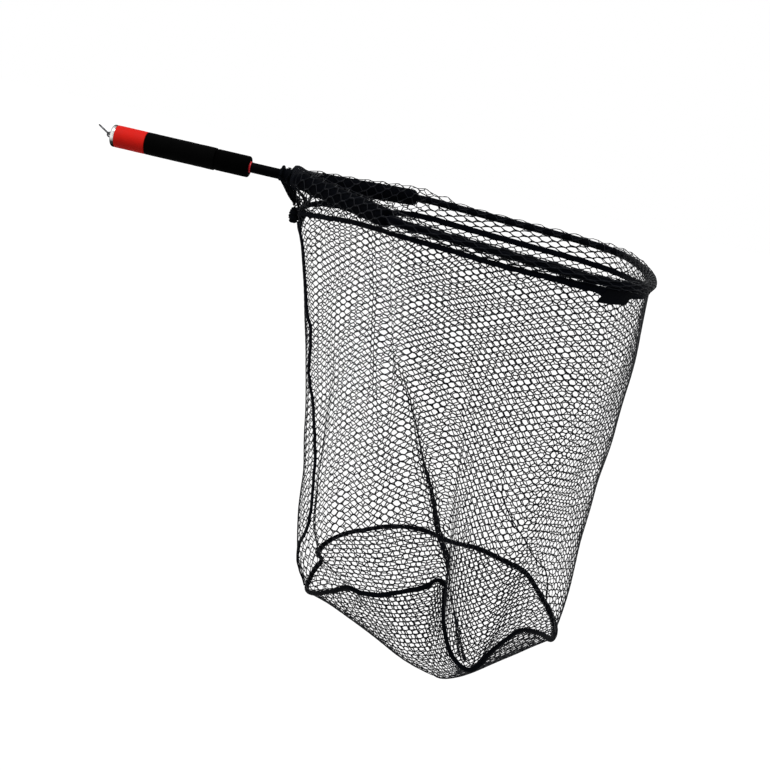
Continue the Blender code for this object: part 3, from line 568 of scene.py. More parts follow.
def droop(point):
    return Vector((point.x, point.y, -tan(droopAngle) * max(0.0, point.x - hoopDesign["apexX"])))


def nearHalfRoute():
    # The near arm from the yoke to the middle of the hoop's front
    design = hoopDesign
    apex = Vector((design["apexX"], 0.0, 0.0))
    knee = apex + Vector((design["kneeReach"], -design["kneeHalfWidth"], 0.0))
    start = apex + (knee - apex).normalized() * design["tubeStart"]
    frontX = design["apexX"] + design["length"]
    front = [Vector((frontX - design["frontBow"] * share ** 2, -design["tipHalfWidth"] * share, 0.0))
             for share in (1.0, 0.5, 0.375, 0.25, 0.125, 0.0)]
    return ([start] + roundedCorner(start, knee, front[0], design["kneeBend"], 16)
            + roundedCorner(knee, front[0], front[1], design["tipBend"], 28) + front[1:])


nearHalf = nearHalfRoute()
hoopTrace = makeTrace([droop(point) for point in nearHalf]
                      + [droop(Vector((point.x, -point.y, 0.0))) for point in reversed(nearHalf[:-1])])
hoopLength = hoopTrace["length"]
coverStart = hoopDesign["socketLength"] + 0.0003
floatEnd = (nearHalf[1] - nearHalf[0]).length - hoopDesign["floatKneeRoom"]


def coverMarks(steps):
    # Even steps along the part of the hoop that the netting covers
    return [coverStart + (hoopLength - 2 * coverStart) * i / steps for i in range(steps + 1)]


def makeHoopTube():
    steps = hoopDesign["steps"]
    route = [onTrace(hoopTrace, hoopLength * i / steps) for i in range(steps + 1)]
    finishPiece("hoopTube", sweptTube(route, hoopDesign["tubeRadius"], steps, 24), "hoop_paint", "hoop_tube")


floatDesign = {"rounding": 0.0022, "lumps": 0.0005, "cuts": 60, "steps": 64}


def makeFloat(name, node, side):
    # Foam tube on the arm, a little lumpy where the netting pulls over it
    start, end = (hoopDesign["tubeStart"] + along for along in (coverStart, floatEnd))
    radius = hoopDesign["floatRadius"]
    outline = roundedSleeve(start, end, radius, hoopDesign["tubeRadius"] + 0.0003, floatDesign["rounding"])
    shape = turnedShape(outline, floatDesign["steps"])
    waverSkin(shape, radius, floatDesign["cuts"], 70.0, floatDesign["lumps"])
    angle = side * atan2(hoopDesign["kneeHalfWidth"], hoopDesign["kneeReach"])
    turn = (Matrix.Translation((hoopDesign["apexX"], 0.0, 0.0)) @ Matrix.Rotation(angle, 4, "Z")
            @ Matrix.Rotation(droopAngle * cos(angle), 4, "Y"))
    ops.transform(shape, matrix=turn, verts=shape.verts)
    faceOutwards(shape)
    finishPiece(name, shape, "float_foam", node)


makeHoopTube()
makeFloat("floatNear", "float_near", -1)
makeFloat("floatFar", "float_far", 1)
print("hoop and floats are made")


# Rim seam and base edge: the two closed lines that the bag hangs between

nearRimDrops = [(0, 0.044), (0.1, 0.034), (0.2, 0.023), (0.31, 0.0155), (0.42, 0.0105), (0.65, 0.0095),
                (0.78, 0.0072), (0.92, 0.0072), (1, 0.012)]
farRimDrops = [(0, 0.044), (0.1, 0.036), (0.2, 0.028), (0.31, 0.023), (0.42, 0.024), (0.65, 0.026),
               (0.78, 0.025), (0.92, 0.018), (1, 0.012)]
rimDesign = {"tapeThickness": 0.0032, "knotReach": 0.0235, "knotDepth": 0.0565, "taper": 0.075,
             "room": 0.0008, "leastRoom": 0.0059}
# Height of the rim tape, and how far it is pulled up towards the tube, by the share of the way round
tapeHeights = [(0, 0.007), (0.28, 0.0072), (0.34, 0.0105), (0.46, 0.0105), (0.5, 0.009), (0.56, 0.0095),
               (0.95, 0.0095), (1, 0.007)]
rimLift = [(0, 0), (0.05, 0.0015), (0.1, 0.0035), (0.165, 0.0035), (0.195, 0.001), (0.22, -0.0005),
           (0.25, -0.0015), (0.28, 0), (0.315, 0.0025), (0.38, 0.003), (0.46, 0.0025), (0.5, 0.001),
           (0.54, 0), (0.88, 0), (0.92, 0.003), (0.95, 0.009), (0.97, 0.011), (0.985, 0.008), (1, 0)]


def coverRadius(distance):
    # Radius of the netting over the hoop: wide over a float, tapering past its end
    along = min(distance, hoopLength - distance)
    bare, overFloat = (hoopDesign[name] + rimDesign["room"] for name in ("tubeRadius", "floatRadius"))
    return overFloat + (bare - overFloat) * clamp((along - floatEnd - 0.01) / rimDesign["taper"])


def rimDepth(distance):
    table = nearRimDrops if distance <= hoopLength / 2 else farRimDrops
    drop = curveValue(table, min(distance, hoopLength - distance) / (hoopLength / 2))
    least = coverRadius(distance) + rimDesign["leastRoom"]
    return max(hoopDesign["tubeRadius"] + drop, least) - curveValue(rimLift, distance / hoopLength)


knotSpot = Vector((hoopDesign["apexX"] + rimDesign["knotReach"], 0.0, -rimDesign["knotDepth"]))
hungSeam = [onTrace(hoopTrace, mark) - up * rimDepth(mark) for mark in coverMarks(220)]
seamRoute = ([knotSpot.lerp(hungSeam[0], i / 6) for i in range(6)] + hungSeam
             + [hungSeam[-1].lerp(knotSpot, i / 6) for i in range(1, 6)])
for easing in range(3):
    seamRoute = [(seamRoute[i - 1] + seamRoute[i] * 2 + seamRoute[(i + 1) % len(seamRoute)]) / 4
                 for i in range(len(seamRoute))]
seamTrace = makeTrace(seamRoute, closed=True)

baseDesign = {"centre": (0.54485, 0.0, -0.6), "sag": 0.13, "sagPlace": (0.032, -0.06), "roundness": 1.65,
              "cordRadius": 0.0034}
# The edge cord's route, in millimetres from the base's centre
baseEdgeRoute = [
    (-210, 0, -60), (-193, -50, -45), (-160, -100, -10), (-137, -125, 14), (-113, -140, 18), (-85, -145, 24),
    (-55, -140, 35), (-20, -125, 47), (-5, -112, 57), (10, -112, 53), (14, -124, 34), (22, -140, 2),
    (37, -150, -30), (55, -156, -48), (76, -160, -53), (90, -164, -36), (99, -165, -14), (115, -160, 8),
    (138, -140, 23), (172, -100, 7), (198, -50, -20), (207, 0, -24), (200, 50, -21), (181, 100, -14),
    (150, 130, 7), (109, 150, 12), (60, 162, 17), (8, 165, 16), (-45, 165, 25), (-95, 165, 18),
    (-140, 155, 4), (-175, 135, -6), (-203, 110, -20), (-212, 85, -31), (-200, 58, -31), (-206, 28, -38)]
baseCentre = Vector(baseDesign["centre"])
edgeRoute = smoothLoop([baseCentre + Vector(point) / 1000 for point in baseEdgeRoute], 12)
edgeTrace = makeTrace(edgeRoute, closed=True)


# Bag's side: netting that hangs from the rim seam to the base edge

frontBelly = [(0, 0), (0.15, 0.0115), (0.28, 0.0135), (0.42, 0.011), (0.62, 0.005), (0.8, 0.005),
              (0.92, 0.004), (1, 0)]
yokeBelly = [(0, 0), (0.15, -0.005), (0.3, -0.006), (0.42, -0.006), (0.62, 0), (0.8, 0.011), (0.92, 0.014),
             (1, 0)]
wallSamples = 720


def sampleWall(share):
    top = onLoop(seamTrace, share) - up * (curveValue(tapeHeights, share) / 2 - 0.0008)
    edge = onLoop(edgeTrace, share)
    away = squareTo(top - edge, loopTangent(edgeTrace, share))
    outward = Vector((edge.x - baseCentre.x, edge.y, 0.0)).normalized()
    return top, edge + away * (baseDesign["cordRadius"] + 0.0006), outward, (1 + outward.x) / 2


wallTable = [sampleWall(i / wallSamples) for i in range(wallSamples + 1)]

# Creases of the hanging net: where each runs (share down, share round), how far the cells are drawn
# together there, how deep it folds inwards and how wide it is. Drawn together by more than 1, it folds over.
creases = [
    {"run": [(0, 0.15), (0.24, 0.154), (0.31, 0.164), (0.365, 0.174), (0.477, 0.185), (0.594, 0.196),
             (0.722, 0.211), (0.85, 0.223), (1, 0.246)],
     "draw": [(0, 0), (0.26, 0.1), (0.34, 0.8), (0.48, 1.3), (0.72, 2), (0.92, 2.1), (1, 1.1)],
     "depth": [(0, 0.002), (0.3, 0.007), (0.5, 0.015), (0.75, 0.02), (1, 0.018)], "width": 0.018},
    {"run": [(0, 0.3), (0.45, 0.304), (0.54, 0.314), (0.613, 0.345), (0.74, 0.388), (0.85, 0.428),
             (1, 0.45)],
     "draw": [(0, 0), (0.4, 0), (0.55, 1.1), (0.8, 1.3), (0.92, 0.9), (1, 0.4)],
     "depth": [(0, 0), (0.42, 0), (0.55, 0.004), (0.8, 0.006), (1, 0.003)], "width": 0.008},
    {"run": [(0, 0.862), (0.16, 0.867), (0.36, 0.855), (0.575, 0.842), (1, 0.83)],
     "draw": [(0, 0.3), (0.16, 0.6), (0.36, 0.7), (0.575, 0.6), (0.8, 0.2), (1, 0)],
     "depth": [(0, 0), (0.2, 0.006), (0.5, 0.007), (0.8, 0.003), (1, 0)], "width": 0.022},
    {"run": [(0, 0.134), (0.27, 0.138), (0.5, 0.146), (1, 0.16)],
     "draw": [(0, 0.35), (0.15, 0.6), (0.34, 0.65), (0.5, 0.3), (0.65, 0), (1, 0)],
     "depth": [(0, 0), (0.15, 0.002), (0.4, 0.003), (0.65, 0), (1, 0)], "width": 0.03},
]


def hangPoint(share, down, inward):
    # A place on the bag's side, folded inwards by that much
    spot = share % 1.0 * wallSamples
    i = min(int(spot), wallSamples - 1)
    top, foot, outward, frontShare = wallTable[i]
    nextTop, nextFoot = wallTable[i + 1][:2]
    point = top.lerp(nextTop, spot - i).lerp(foot.lerp(nextFoot, spot - i), down)
    loose = sin(pi * down)
    swell = curveValue(yokeBelly, down) * (1 - frontShare) + curveValue(frontBelly, down) * frontShare
    swell += loose * 0.0035 * noise.noise(point * 14.0) - inward * min(1.0, loose * 3)
    return point + outward * swell


def offCrease(crease, share, down):
    return ((share - curveValue(crease["run"], down) + 0.5) % 1.0 - 0.5) * seamTrace["length"]


def foldOf(crease, off, down):
    return curveValue(crease["depth"], down) * exp(-(off / crease["width"] - 0.35) ** 2 * 1.4)


def wallPoint(share, down):
    # The same place once the netting is drawn together at the creases
    down = clamp(down)
    inward = 0.0
    for crease in creases:
        off = offCrease(crease, share, down)
        if abs(off) < crease["width"] * 3.5:
            draw = curveValue(crease["draw"], down) * exp(-(off / crease["width"]) ** 2)
            share -= off * draw / seamTrace["length"]
            inward += foldOf(crease, off, down)
    return hangPoint(share, down, inward)


# Netting: six-sided cells with two level sides, each level side two yarns thick

netDesign = {"strand": 0.0023, "flatness": 0.55, "sideShift": 0.075, "beadRadius": 0.0013, "beadReach": 0.25,
             "beadFlatness": 0.6, "columnWidth": 0.0115, "twist": 0.06, "waver": 0.05, "wallColumns": 136,
             "wallRows": 50, "sleeveColumns": 96, "sleeveRows": 7}


def flatSheet(columns, rows, addCell):
    # A pair of columns copied along the row, and the row copied down: a column is 1 wide, a cell is 1 high,
    # and every second column is half a cell lower
    shape = bmesh.new()
    for column in (0, 1):
        addCell(shape, Matrix.Translation((column, column / 2, 0.0)))
    for step, count in (((2.0, 0.0, 0.0), columns // 2), ((0.0, 1.0, 0.0), rows)):
        ops.spin(shape, geom=shape.verts[:] + shape.edges[:] + shape.faces[:], cent=(0.0, 0.0, 0.0), axis=up,
                 dvec=step, angle=0.0, steps=count - 1, use_duplicate=True)
    return shape


def addHexagon(shape, seat):
    turn = (seat @ Matrix.Translation((0.0, 0.5, 0.0)) @ Matrix.Diagonal((1.0, sqrt(0.75), 1.0, 1.0))
            @ Matrix.Rotation(pi / 2, 4, "Z"))
    ops.create_circle(shape, cap_ends=True, segments=6, radius=2 / 3, matrix=turn)


def addBead(shape, seat):
    # A slim bead on the level side of a cell; its height is in metres
    design = netDesign
    size = (design["beadReach"], design["beadRadius"] / design["columnWidth"],
            design["beadRadius"] * design["beadFlatness"], 1.0)
    ops.create_uvsphere(shape, u_segments=5, v_segments=3, radius=1.0,
                        matrix=seat @ Matrix.Diagonal(size) @ Matrix.Rotation(pi / 2, 4, "Y"))


def waverOf(x, y):
    # Cells are knotted by machine but hang a little unevenly
    turn = 2 * pi * x / netDesign["wallColumns"]
    shift = noise.noise_vector(Vector((19.0 * cos(turn), 19.0 * sin(turn), y * 0.71)))
    lean = netDesign["twist"] * sin(2 * pi * x)
    return x + shift.x * netDesign["waver"], y + shift.y * netDesign["waver"] + lean


def addShape(shape, other):
    carrier = bpy.data.meshes.new("carrier")
    other.to_mesh(carrier)
    other.free()
    shape.from_mesh(carrier)
    bpy.data.meshes.remove(carrier)


def wireNet(shape, strand):
    # Turns the faces' edges into strands, a little flatter across the sheet than along it
    shape.normal_update()
    places = [(corner.co.copy(), corner.normal.copy()) for corner in shape.verts]
    seats = kdtree.KDTree(len(places))
    for i, (seat, normal) in enumerate(places):
        seats.insert(seat, i)
    seats.balance()
    ops.wireframe(shape, faces=shape.faces, thickness=strand, use_replace=True, use_boundary=True)
    for corner in shape.verts:
        seat, normal = places[seats.find(corner.co)[1]]
        corner.co -= normal * ((corner.co - seat).dot(normal) * (1 - netDesign["flatness"]))


def makeNet(name, node, surface, columns, rows, keep=None, strand=netDesign["strand"]):
    # Netting on a surface: surface(x, y) takes a place on the flat sheet, in cells, and gives a point
    shape, beads = flatSheet(columns, rows, addHexagon), flatSheet(columns, rows, addBead)
    ops.remove_doubles(shape, verts=shape.verts, dist=0.01)
    for corner in shape.verts:
        corner.co.x -= netDesign["sideShift"] * sin(2 * pi * corner.co.x)
    if keep:
        away = [face for face in shape.faces
                if not any(keep(corner.co.x, corner.co.y) for corner in face.verts)]
        ops.delete(shape, geom=away, context="FACES")
        away = [corner for corner in beads.verts if not keep(round(corner.co.x), corner.co.y)]
        ops.delete(beads, geom=away, context="VERTS")
    for corner in shape.verts:
        corner.co = surface(*waverOf(corner.co.x, corner.co.y))
    ops.dissolve_degenerate(shape, edges=shape.edges, dist=0.0003)
    wireNet(shape, strand)
    seats = {}
    for corner in beads.verts:
        column = round(corner.co.x)
        row = round(corner.co.y - column % 2 / 2) + column % 2 / 2
        if (column, row) not in seats:
            ahead = surface(*waverOf(column + 0.33, row)) - surface(*waverOf(column - 0.33, row))
            lower = surface(*waverOf(column, row + 0.25)) - surface(*waverOf(column, row - 0.25))
            seats[column, row] = (surface(*waverOf(column, row)), ahead / 0.66,
                                  lower.normalized() * netDesign["columnWidth"],
                                  lower.cross(ahead).normalized())
        middle, ahead, lower, out = seats[column, row]
        corner.co = middle + ahead * (corner.co.x - column) + lower * (corner.co.y - row) + out * corner.co.z
    addShape(shape, beads)
    faceOutwards(shape)
    finishPiece(name, shape, "coated_net", node)


# Shares round and down the bag for columns and rows of cells: they hang wide at its two ends and long below
columnShares = [(0, 0), (9, 0.072), (18, 0.145), (23, 0.179), (61, 0.42), (70, 0.5), (79, 0.58), (115, 0.83),
                (126, 0.92), (136, 1)]
shareColumns = [(share, column) for column, share in columnShares]
rowShares = [(0, 0), (27, 0.5), (50, 1)]
# Lower down, columns 22 to 37 end up inside the main crease: half its width in shares, and how much by depth
gathered = {"first": 22, "last": 37, "reach": 0.014, "end": 61,
            "onset": [(0, 0), (0.3, 0), (0.85, 1), (1, 1)]}


def columnShare(column, down):
    free = curveValue(columnShares, column)
    if column >= gathered["end"]:
        return free
    onset = curveValue(gathered["onset"], down)
    middle = curveValue(creases[0]["run"], down)
    low, high, end = middle - gathered["reach"], middle + gathered["reach"], gathered["end"]
    first, last = curveValue(shareColumns, low), curveValue(shareColumns, high)
    first += (gathered["first"] - first) * onset
    last += (gathered["last"] - last) * onset
    if column < first:
        return low * free / curveValue(columnShares, first)
    if column < last:
        return low + (high - low) * (column - first) / (last - first)
    return high + (curveValue(columnShares, end) - high) * (column - last) / (end - last)


def wallSurface(firstColumn):
    def surface(x, y):
        down = curveValue(rowShares, y)
        return wallPoint(columnShare(firstColumn + x, down), down)
    return surface


halfWall = netDesign["wallColumns"] // 2
makeNet("wallNetNear", "wall_netting", wallSurface(0), halfWall, netDesign["wallRows"])
makeNet("wallNetFar", "wall_netting", wallSurface(halfWall), halfWall, netDesign["wallRows"])
print("side netting is made")


# Netting laced over the hoop and floats

sleeveSections = 240
sectionSteps = 24


def sleeveSection(mark):
    # A round top whose flanks run down to the tape, resampled to even steps
    centre = onTrace(hoopTrace, mark)
    side = levelSide((onTrace(hoopTrace, mark + 0.004) - onTrace(hoopTrace, mark - 0.004)).normalized())
    radius = coverRadius(mark)
    depth = max(rimDepth(mark) - curveValue(tapeHeights, mark / hoopLength) / 2, radius * 1.04)
    lean = acos(radius / depth)
    foot = centre - up * depth
    angles = [-pi / 2 + lean + (2 * pi - 2 * lean) * i / 16 for i in range(17)]
    top = [centre + (side * cos(angle) + up * sin(angle)) * radius for angle in angles]
    trace = makeTrace([foot + side * 0.0008] + top + [foot - side * 0.0008])
    return [onTrace(trace, trace["length"] * i / sectionSteps) for i in range(sectionSteps + 1)], centre


sleeveTable = [sleeveSection(mark) for mark in coverMarks(sleeveSections)]
# How far the laced netting stands off the tube, by the share of the way round the hoop
sleeveSlack = [(0, 0.002), (0.18, 0.0022), (0.3, 0.001), (0.42, 0.0006), (0.52, 0.001), (0.58, 0.006),
               (0.66, 0.0055), (0.74, 0.0035), (0.82, 0.007), (0.88, 0.006), (0.94, 0.002), (1, 0.002)]


def sleeveSurface(x, y):
    along = clamp(x / netDesign["sleeveColumns"]) * sleeveSections
    turn = clamp(y / netDesign["sleeveRows"]) * sectionSteps
    i, j = min(int(along), sleeveSections - 1), min(int(turn), sectionSteps - 1)
    (start, centre), (end, nextCentre) = sleeveTable[i:i + 2]
    point = start[j].lerp(start[j + 1], turn - j).lerp(end[j].lerp(end[j + 1], turn - j), along - i)
    slack = max(0.0, 0.35 + 0.65 * noise.noise(point * 55.0)) * max(0.0, sin(pi * turn / sectionSteps))
    lift = 0.0004 + curveValue(sleeveSlack, along / sleeveSections) * slack
    return point + (point - centre.lerp(nextCentre, along - i)).normalized() * lift


makeNet("rimNet", "rim_netting", sleeveSurface, netDesign["sleeveColumns"], netDesign["sleeveRows"])


# Netting of the base, cut to the edge cord and hung below it

baseNetDesign = {"strand": 0.0026, "columnWidth": 0.0096, "rowHeight": 0.0094, "columns": 68, "rows": 52,
                 "middle": (40, 22), "spokes": 360, "edgeSamples": 1440, "rings": 16}
baseSpokes = baseNetDesign["spokes"]
lowestPoint = baseCentre + Vector((*baseDesign["sagPlace"], -baseDesign["sag"]))


def edgeSeat(share):
    # Where the base's netting meets the edge cord, and its bearing from the lowest point
    spot = onLoop(edgeTrace, share)
    away = squareTo(lowestPoint - spot, loopTangent(edgeTrace, share))
    seat = spot + away * (baseDesign["cordRadius"] + 0.0002)
    return atan2(seat.y - lowestPoint.y, seat.x - lowestPoint.x) % (2 * pi), seat


def nearestSeat(bearing):
    return min(edgeSeats, key=lambda item: abs((item[0] - bearing + pi) % (2 * pi) - pi))[1]


def baseSpoke(edge, easedEdge):
    # Points from the lowest point of the base out to its edge, whose notches fade out on the way in
    spoke = []
    for ring in (i / baseNetDesign["rings"] for i in range(baseNetDesign["rings"] + 1)):
        end = easedEdge.lerp(edge, ring ** 2)
        spot = lowestPoint.lerp(end, ring)
        spot.z = lowestPoint.z + (end.z - lowestPoint.z) * ring ** baseDesign["roundness"]
        spoke.append(spot)
    return makeTrace(spoke)


edgeSeats = [edgeSeat(i / baseNetDesign["edgeSamples"]) for i in range(baseNetDesign["edgeSamples"])]
edgeAt = [nearestSeat(2 * pi * i / baseSpokes) for i in range(baseSpokes)]
eased = edgeAt
for easing in range(60):
    eased = [(eased[i - 4] + eased[i] + eased[(i + 4) % baseSpokes]) / 3 for i in range(baseSpokes)]
spokeTable = [baseSpoke(*ends) for ends in zip(edgeAt, eased)]


def basePlace(x, y):
    # Bearing and distance of a place on the flat sheet, measured from above the lowest point
    middleX, middleY = baseNetDesign["middle"]
    flat = Vector(((x - middleX) * baseNetDesign["columnWidth"], (y - middleY) * baseNetDesign["rowHeight"]))
    return atan2(flat.y, flat.x) % (2 * pi) / (2 * pi) * baseSpokes, flat.length


def baseSurface(x, y):
    bearing, distance = basePlace(x, y)
    i = int(bearing)
    start, end = (onTrace(spoke, min(distance, spoke["length"]))
                  for spoke in (spokeTable[i % baseSpokes], spokeTable[(i + 1) % baseSpokes]))
    point = start.lerp(end, bearing - i)
    return point + up * (0.004 * noise.noise(point * 16.0))


def insideBase(x, y):
    bearing, distance = basePlace(x, y)
    return distance < spokeTable[int(bearing) % baseSpokes]["length"]


makeNet("baseNet", "base_netting", baseSurface, baseNetDesign["columns"], baseNetDesign["rows"], insideBase,
        baseNetDesign["strand"])
print("rim and base netting are made")


# Tapes and cords

tapeWobble = 0.0012


def flatTape(route, sidesAt, widths, thickness, columns, closed):
    # A flat woven tape along a route: sidesAt gives its thin and its wide direction
    def corner(centre, tangent, angle, distance, along):
        out, broad = sidesAt(along, tangent)
        wide = copysign(abs(sin(angle)) ** 0.35, sin(angle)) * curveValue(widths, along) / 2
        thick = copysign(abs(cos(angle)) ** 0.6, cos(angle)) * thickness / 2
        wave = noise.noise_vector(centre * 60.0) * tapeWobble
        return centre + broad * (wide * (1 + 0.08 * noise.noise(centre * 130.0))) + out * thick + wave

    return sweep(route, columns, 16, closed, 2 * (widths[0][1] + thickness), 1.0, corner)


def makeRimTape():
    shape = flatTape(seamRoute, lambda along, tangent: (levelSide(tangent), up), tapeHeights,
                     rimDesign["tapeThickness"], 620, True)
    finishPiece("rimTape", shape, "webbing", "rim_tape")


stitchDesign = {"spacing": 0.0046, "length": 0.0034, "radius": 0.00042, "rows": (-0.0024, 0.0024)}


def makeRimStitches():
    # Two rows of lock stitches on one face of the rim tape
    shape = bmesh.new()
    count = int(seamTrace["length"] / stitchDesign["spacing"])
    for share in ((i + 0.5) / count for i in range(count)):
        tangent = loopTangent(seamTrace, share)
        centre = onLoop(seamTrace, share) + levelSide(tangent) * (rimDesign["tapeThickness"] / 2)
        turned = tangent.to_track_quat("Z", "Y").to_matrix().to_4x4()
        for row in stitchDesign["rows"]:
            turn = Matrix.Translation(centre + up * row) @ turned
            ops.create_cone(shape, cap_ends=True, segments=4, radius1=stitchDesign["radius"],
                            radius2=stitchDesign["radius"] * 0.7, depth=stitchDesign["length"], matrix=turn)
    finishPiece("rimStitches", shape, "cord")


def braidLumps(distance, angle):
    return 1.0 + 0.05 * sin(2 * angle + distance * 1400.0) + 0.04 * sin(-3 * angle + distance * 900.0)


# The cord is doubled at its far front, by the share of the way round it
cordSwell = [(0, 1), (0.44, 1), (0.5, 1.32), (0.62, 1.32), (0.68, 1), (1, 1)]


def cordLumps(distance, angle):
    return braidLumps(distance, angle) * curveValue(cordSwell, min(1.0, distance / edgeTrace["length"]))


def makeBaseEdgeCord():
    shape = sweptTube(edgeRoute, baseDesign["cordRadius"], 900, 12, True, cordLumps)
    finishPiece("baseEdgeCord", shape, "webbing", "base_edge_cord", finish="cord")


# Share round the bag of the tape over its seam, by the share down
sideSeamRoute = [(0, 0.012), (0.07, 0.021), (0.15, 0.021), (0.23, 0.024), (0.3, 0.031), (0.37, 0.026),
                 (0.42, 0.026), (0.5, 0.038), (0.62, 0.048), (0.74, 0.053), (0.82, 0.048), (0.89, 0.021),
                 (0.95, 0.008), (1, 0.008)]
seamDesign = {"width": 0.0068, "thickness": 0.003, "lift": 0.0022, "first": 0.017, "last": 0.992}


def seamNormal(down):
    share = max(0.002, curveValue(sideSeamRoute, down))
    across = wallPoint(share + 0.001, down) - wallPoint(share - 0.001, down)
    along = wallPoint(share, down + 0.01) - wallPoint(share, down - 0.01)
    return along.cross(across).normalized()


def makeSideSeamTape():
    # Tape over the seam down the yoke end of the bag: gathered, so it waves as the net hangs
    first, reach = seamDesign["first"], seamDesign["last"] - seamDesign["first"]
    route = [wallPoint(curveValue(sideSeamRoute, down), down) + seamNormal(down) * seamDesign["lift"]
             for down in (first + reach * i / 160 for i in range(161))]

    def sides(along, tangent):
        out = squareTo(seamNormal(first + reach * along), tangent)
        return out, tangent.cross(out)

    widths = [(0, seamDesign["width"]), (1, seamDesign["width"])]
    finishPiece("sideSeamTape", flatTape(route, sides, widths, seamDesign["thickness"], 260, False),
                "webbing", "side_seam_tape")


# Where the netting folds over, its yarns lie together in dark lines: (share round, share down) along each
mainCrease = [(0.165, 0.345), (0.174, 0.385), (0.185, 0.477), (0.196, 0.594), (0.211, 0.722), (0.223, 0.85),
              (0.233, 0.898), (0.257, 0.908), (0.279, 0.914), (0.298, 0.927), (0.313, 0.955), (0.325, 0.985)]
frontCrease = [(0.308, 0.515), (0.314, 0.545), (0.345, 0.613), (0.388, 0.74), (0.428, 0.85), (0.44, 0.9)]
# Each bundle: its crease, how far beside the middle, first and last share of it, radius, zigzag
bundles = [(mainCrease, 0.0002, 0, 0.56, 0.0008, 0.001), (mainCrease, -0.0034, 0.2, 0.5, 0.0008, 0.0009),
           (mainCrease, -0.0026, 0.5, 1, 0.0007, 0.0018), (mainCrease, 0.0034, 0.54, 1, 0.0007, 0.002),
           (mainCrease, -0.006, 0.54, 1, 0.0007, 0.0024), (mainCrease, 0.0068, 0.56, 1, 0.0007, 0.0026),
           (mainCrease, -0.009, 0.58, 1, 0.0006, 0.0028), (mainCrease, 0.01, 0.6, 1, 0.0006, 0.0028),
           (frontCrease, 0, 0, 1, 0.001, 0.0003)]


def makeCreaseBundles():
    shape = bmesh.new()
    for crease, beside, first, last, radius, zigzag in bundles:
        rounds, downs = ([(i, spot[k]) for i, spot in enumerate(crease)] for k in (0, 1))
        route = []
        for i in range(141):
            place = (first + (last - first) * i / 140) * (len(crease) - 1)
            off = beside + zigzag * sin(i * 1.35 + beside * 900)
            share, down = curveValue(rounds, place) + off / seamTrace["length"], curveValue(downs, place)
            fold = sum(foldOf(other, offCrease(other, share, down), down) for other in creases[:2])
            route.append(hangPoint(share, down, fold * 0.9))
        addShape(shape, sweptTube(route, radius, 280, 6))
    finishPiece("creaseYarns", shape, "coated_net", "wall_netting")


makeRimTape()
makeRimStitches()
makeCreaseBundles()
makeBaseEdgeCord()
makeSideSeamTape()
print("tapes and edge cord are made")


# Knot below the yoke and the cords that tie it up

knotDesign = {"size": (0.0068, 0.0072, 0.0126), "halfSize": (0.0082, 0.0084, 0.0135), "wrapRadius": 0.0019,
              "turns": ((-0.72, 12), (-0.42, -9), (-0.12, 11), (0.18, -10), (0.48, 12), (0.74, -8))}
tieDesign = {"cordRadius": 0.0021, "footRoom": 0.0008, "footSpread": 0.0032, "wrapDegrees": 210.0,
             "threadRadius": 0.0006, "threadHeights": (-0.0185, -0.03)}
# The two loops over the yoke: place behind its rear end, radius of their seat, lean, and side of their foot
tieLoops = {"rear_tie_cord": (0.0044, 0.0106, 0.0, -1), "front_tie_cord": (0.0232, 0.0141, 0.0062, 1)}
knotX = knotSpot.x - rimDesign["tapeThickness"] / 2 - 0.0001 - knotDesign["halfSize"][0]


def makeGatherKnot():
    # The rim's ends are bound by turns of cord laid at a slant round one another
    shape = bmesh.new()
    sizeX, sizeY, sizeZ = knotDesign["size"]
    core = Matrix.Translation((knotX, 0.0, knotSpot.z)) @ Matrix.Diagonal((sizeX, sizeY, sizeZ, 1.0))
    ops.create_uvsphere(shape, u_segments=24, v_segments=16, radius=1.0, matrix=core)
    for place, slant in knotDesign["turns"]:
        girth = sqrt(1 - place ** 2)
        route = [Vector((knotX + sizeX * girth * cos(angle), sizeY * girth * sin(angle),
                         knotSpot.z + place * sizeZ + sin(angle) * tan(radians(slant)) * sizeY * girth))
                 for angle in (2 * pi * i / 28 for i in range(28))]
        addShape(shape, sweptTube(route, knotDesign["wrapRadius"], 56, 10, True, braidLumps))
    finishPiece("gatherKnot", shape, "cord", "gather_knot")


def tieRoute(node):
    # A loop over the yoke whose two sides run down to the top of the knot
    place, seatRadius, lean, footSide = tieLoops[node]
    topX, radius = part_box("yoke")[0].x + place, tieDesign["cordRadius"]
    wrap, half = seatRadius + radius, radius + tieDesign["footRoom"]
    foot = Vector((knotX + footSide * tieDesign["footSpread"], 0.0,
                   knotSpot.z + knotDesign["halfSize"][2] + 0.0003 + radius))
    near, far = (foot + Vector((0.0, y, 0.0)) for y in (-half, half))
    route = []
    for angle in (radians(90.0 + tieDesign["wrapDegrees"] * (step / 12 - 0.5)) for step in range(13)):
        route.append(Vector((topX - lean * (1 - sin(angle)), wrap * cos(angle), wrap * sin(angle))))
    return (route + [route[-1].lerp(near, share) for share in (1 / 3, 2 / 3)]
            + [foot + Vector((0.0, half * cos(turn * pi), half * (1 + sin(turn * pi))))
               for turn in (1.0, 1.25, 1.5, 1.75, 2.0)]
            + [route[0].lerp(far, share) for share in (2 / 3, 1 / 3)])


def makeTieCord(name, node):
    shape = sweptTube(smoothLoop(tieRoute(node), 6), tieDesign["cordRadius"], 220, 12, True, braidLumps)
    finishPiece(name, shape, "cord", node)


def legsAt(node, height):
    # Where the two legs of a loop pass a height
    route = tieRoute(node)
    crossings = [a.lerp(b, (height - a.z) / (b.z - a.z)) for a, b in zip(route, route[1:] + route[:1])
                 if (a.z - height) * (b.z - height) < 0]
    return sorted(crossings, key=lambda spot: spot.y)


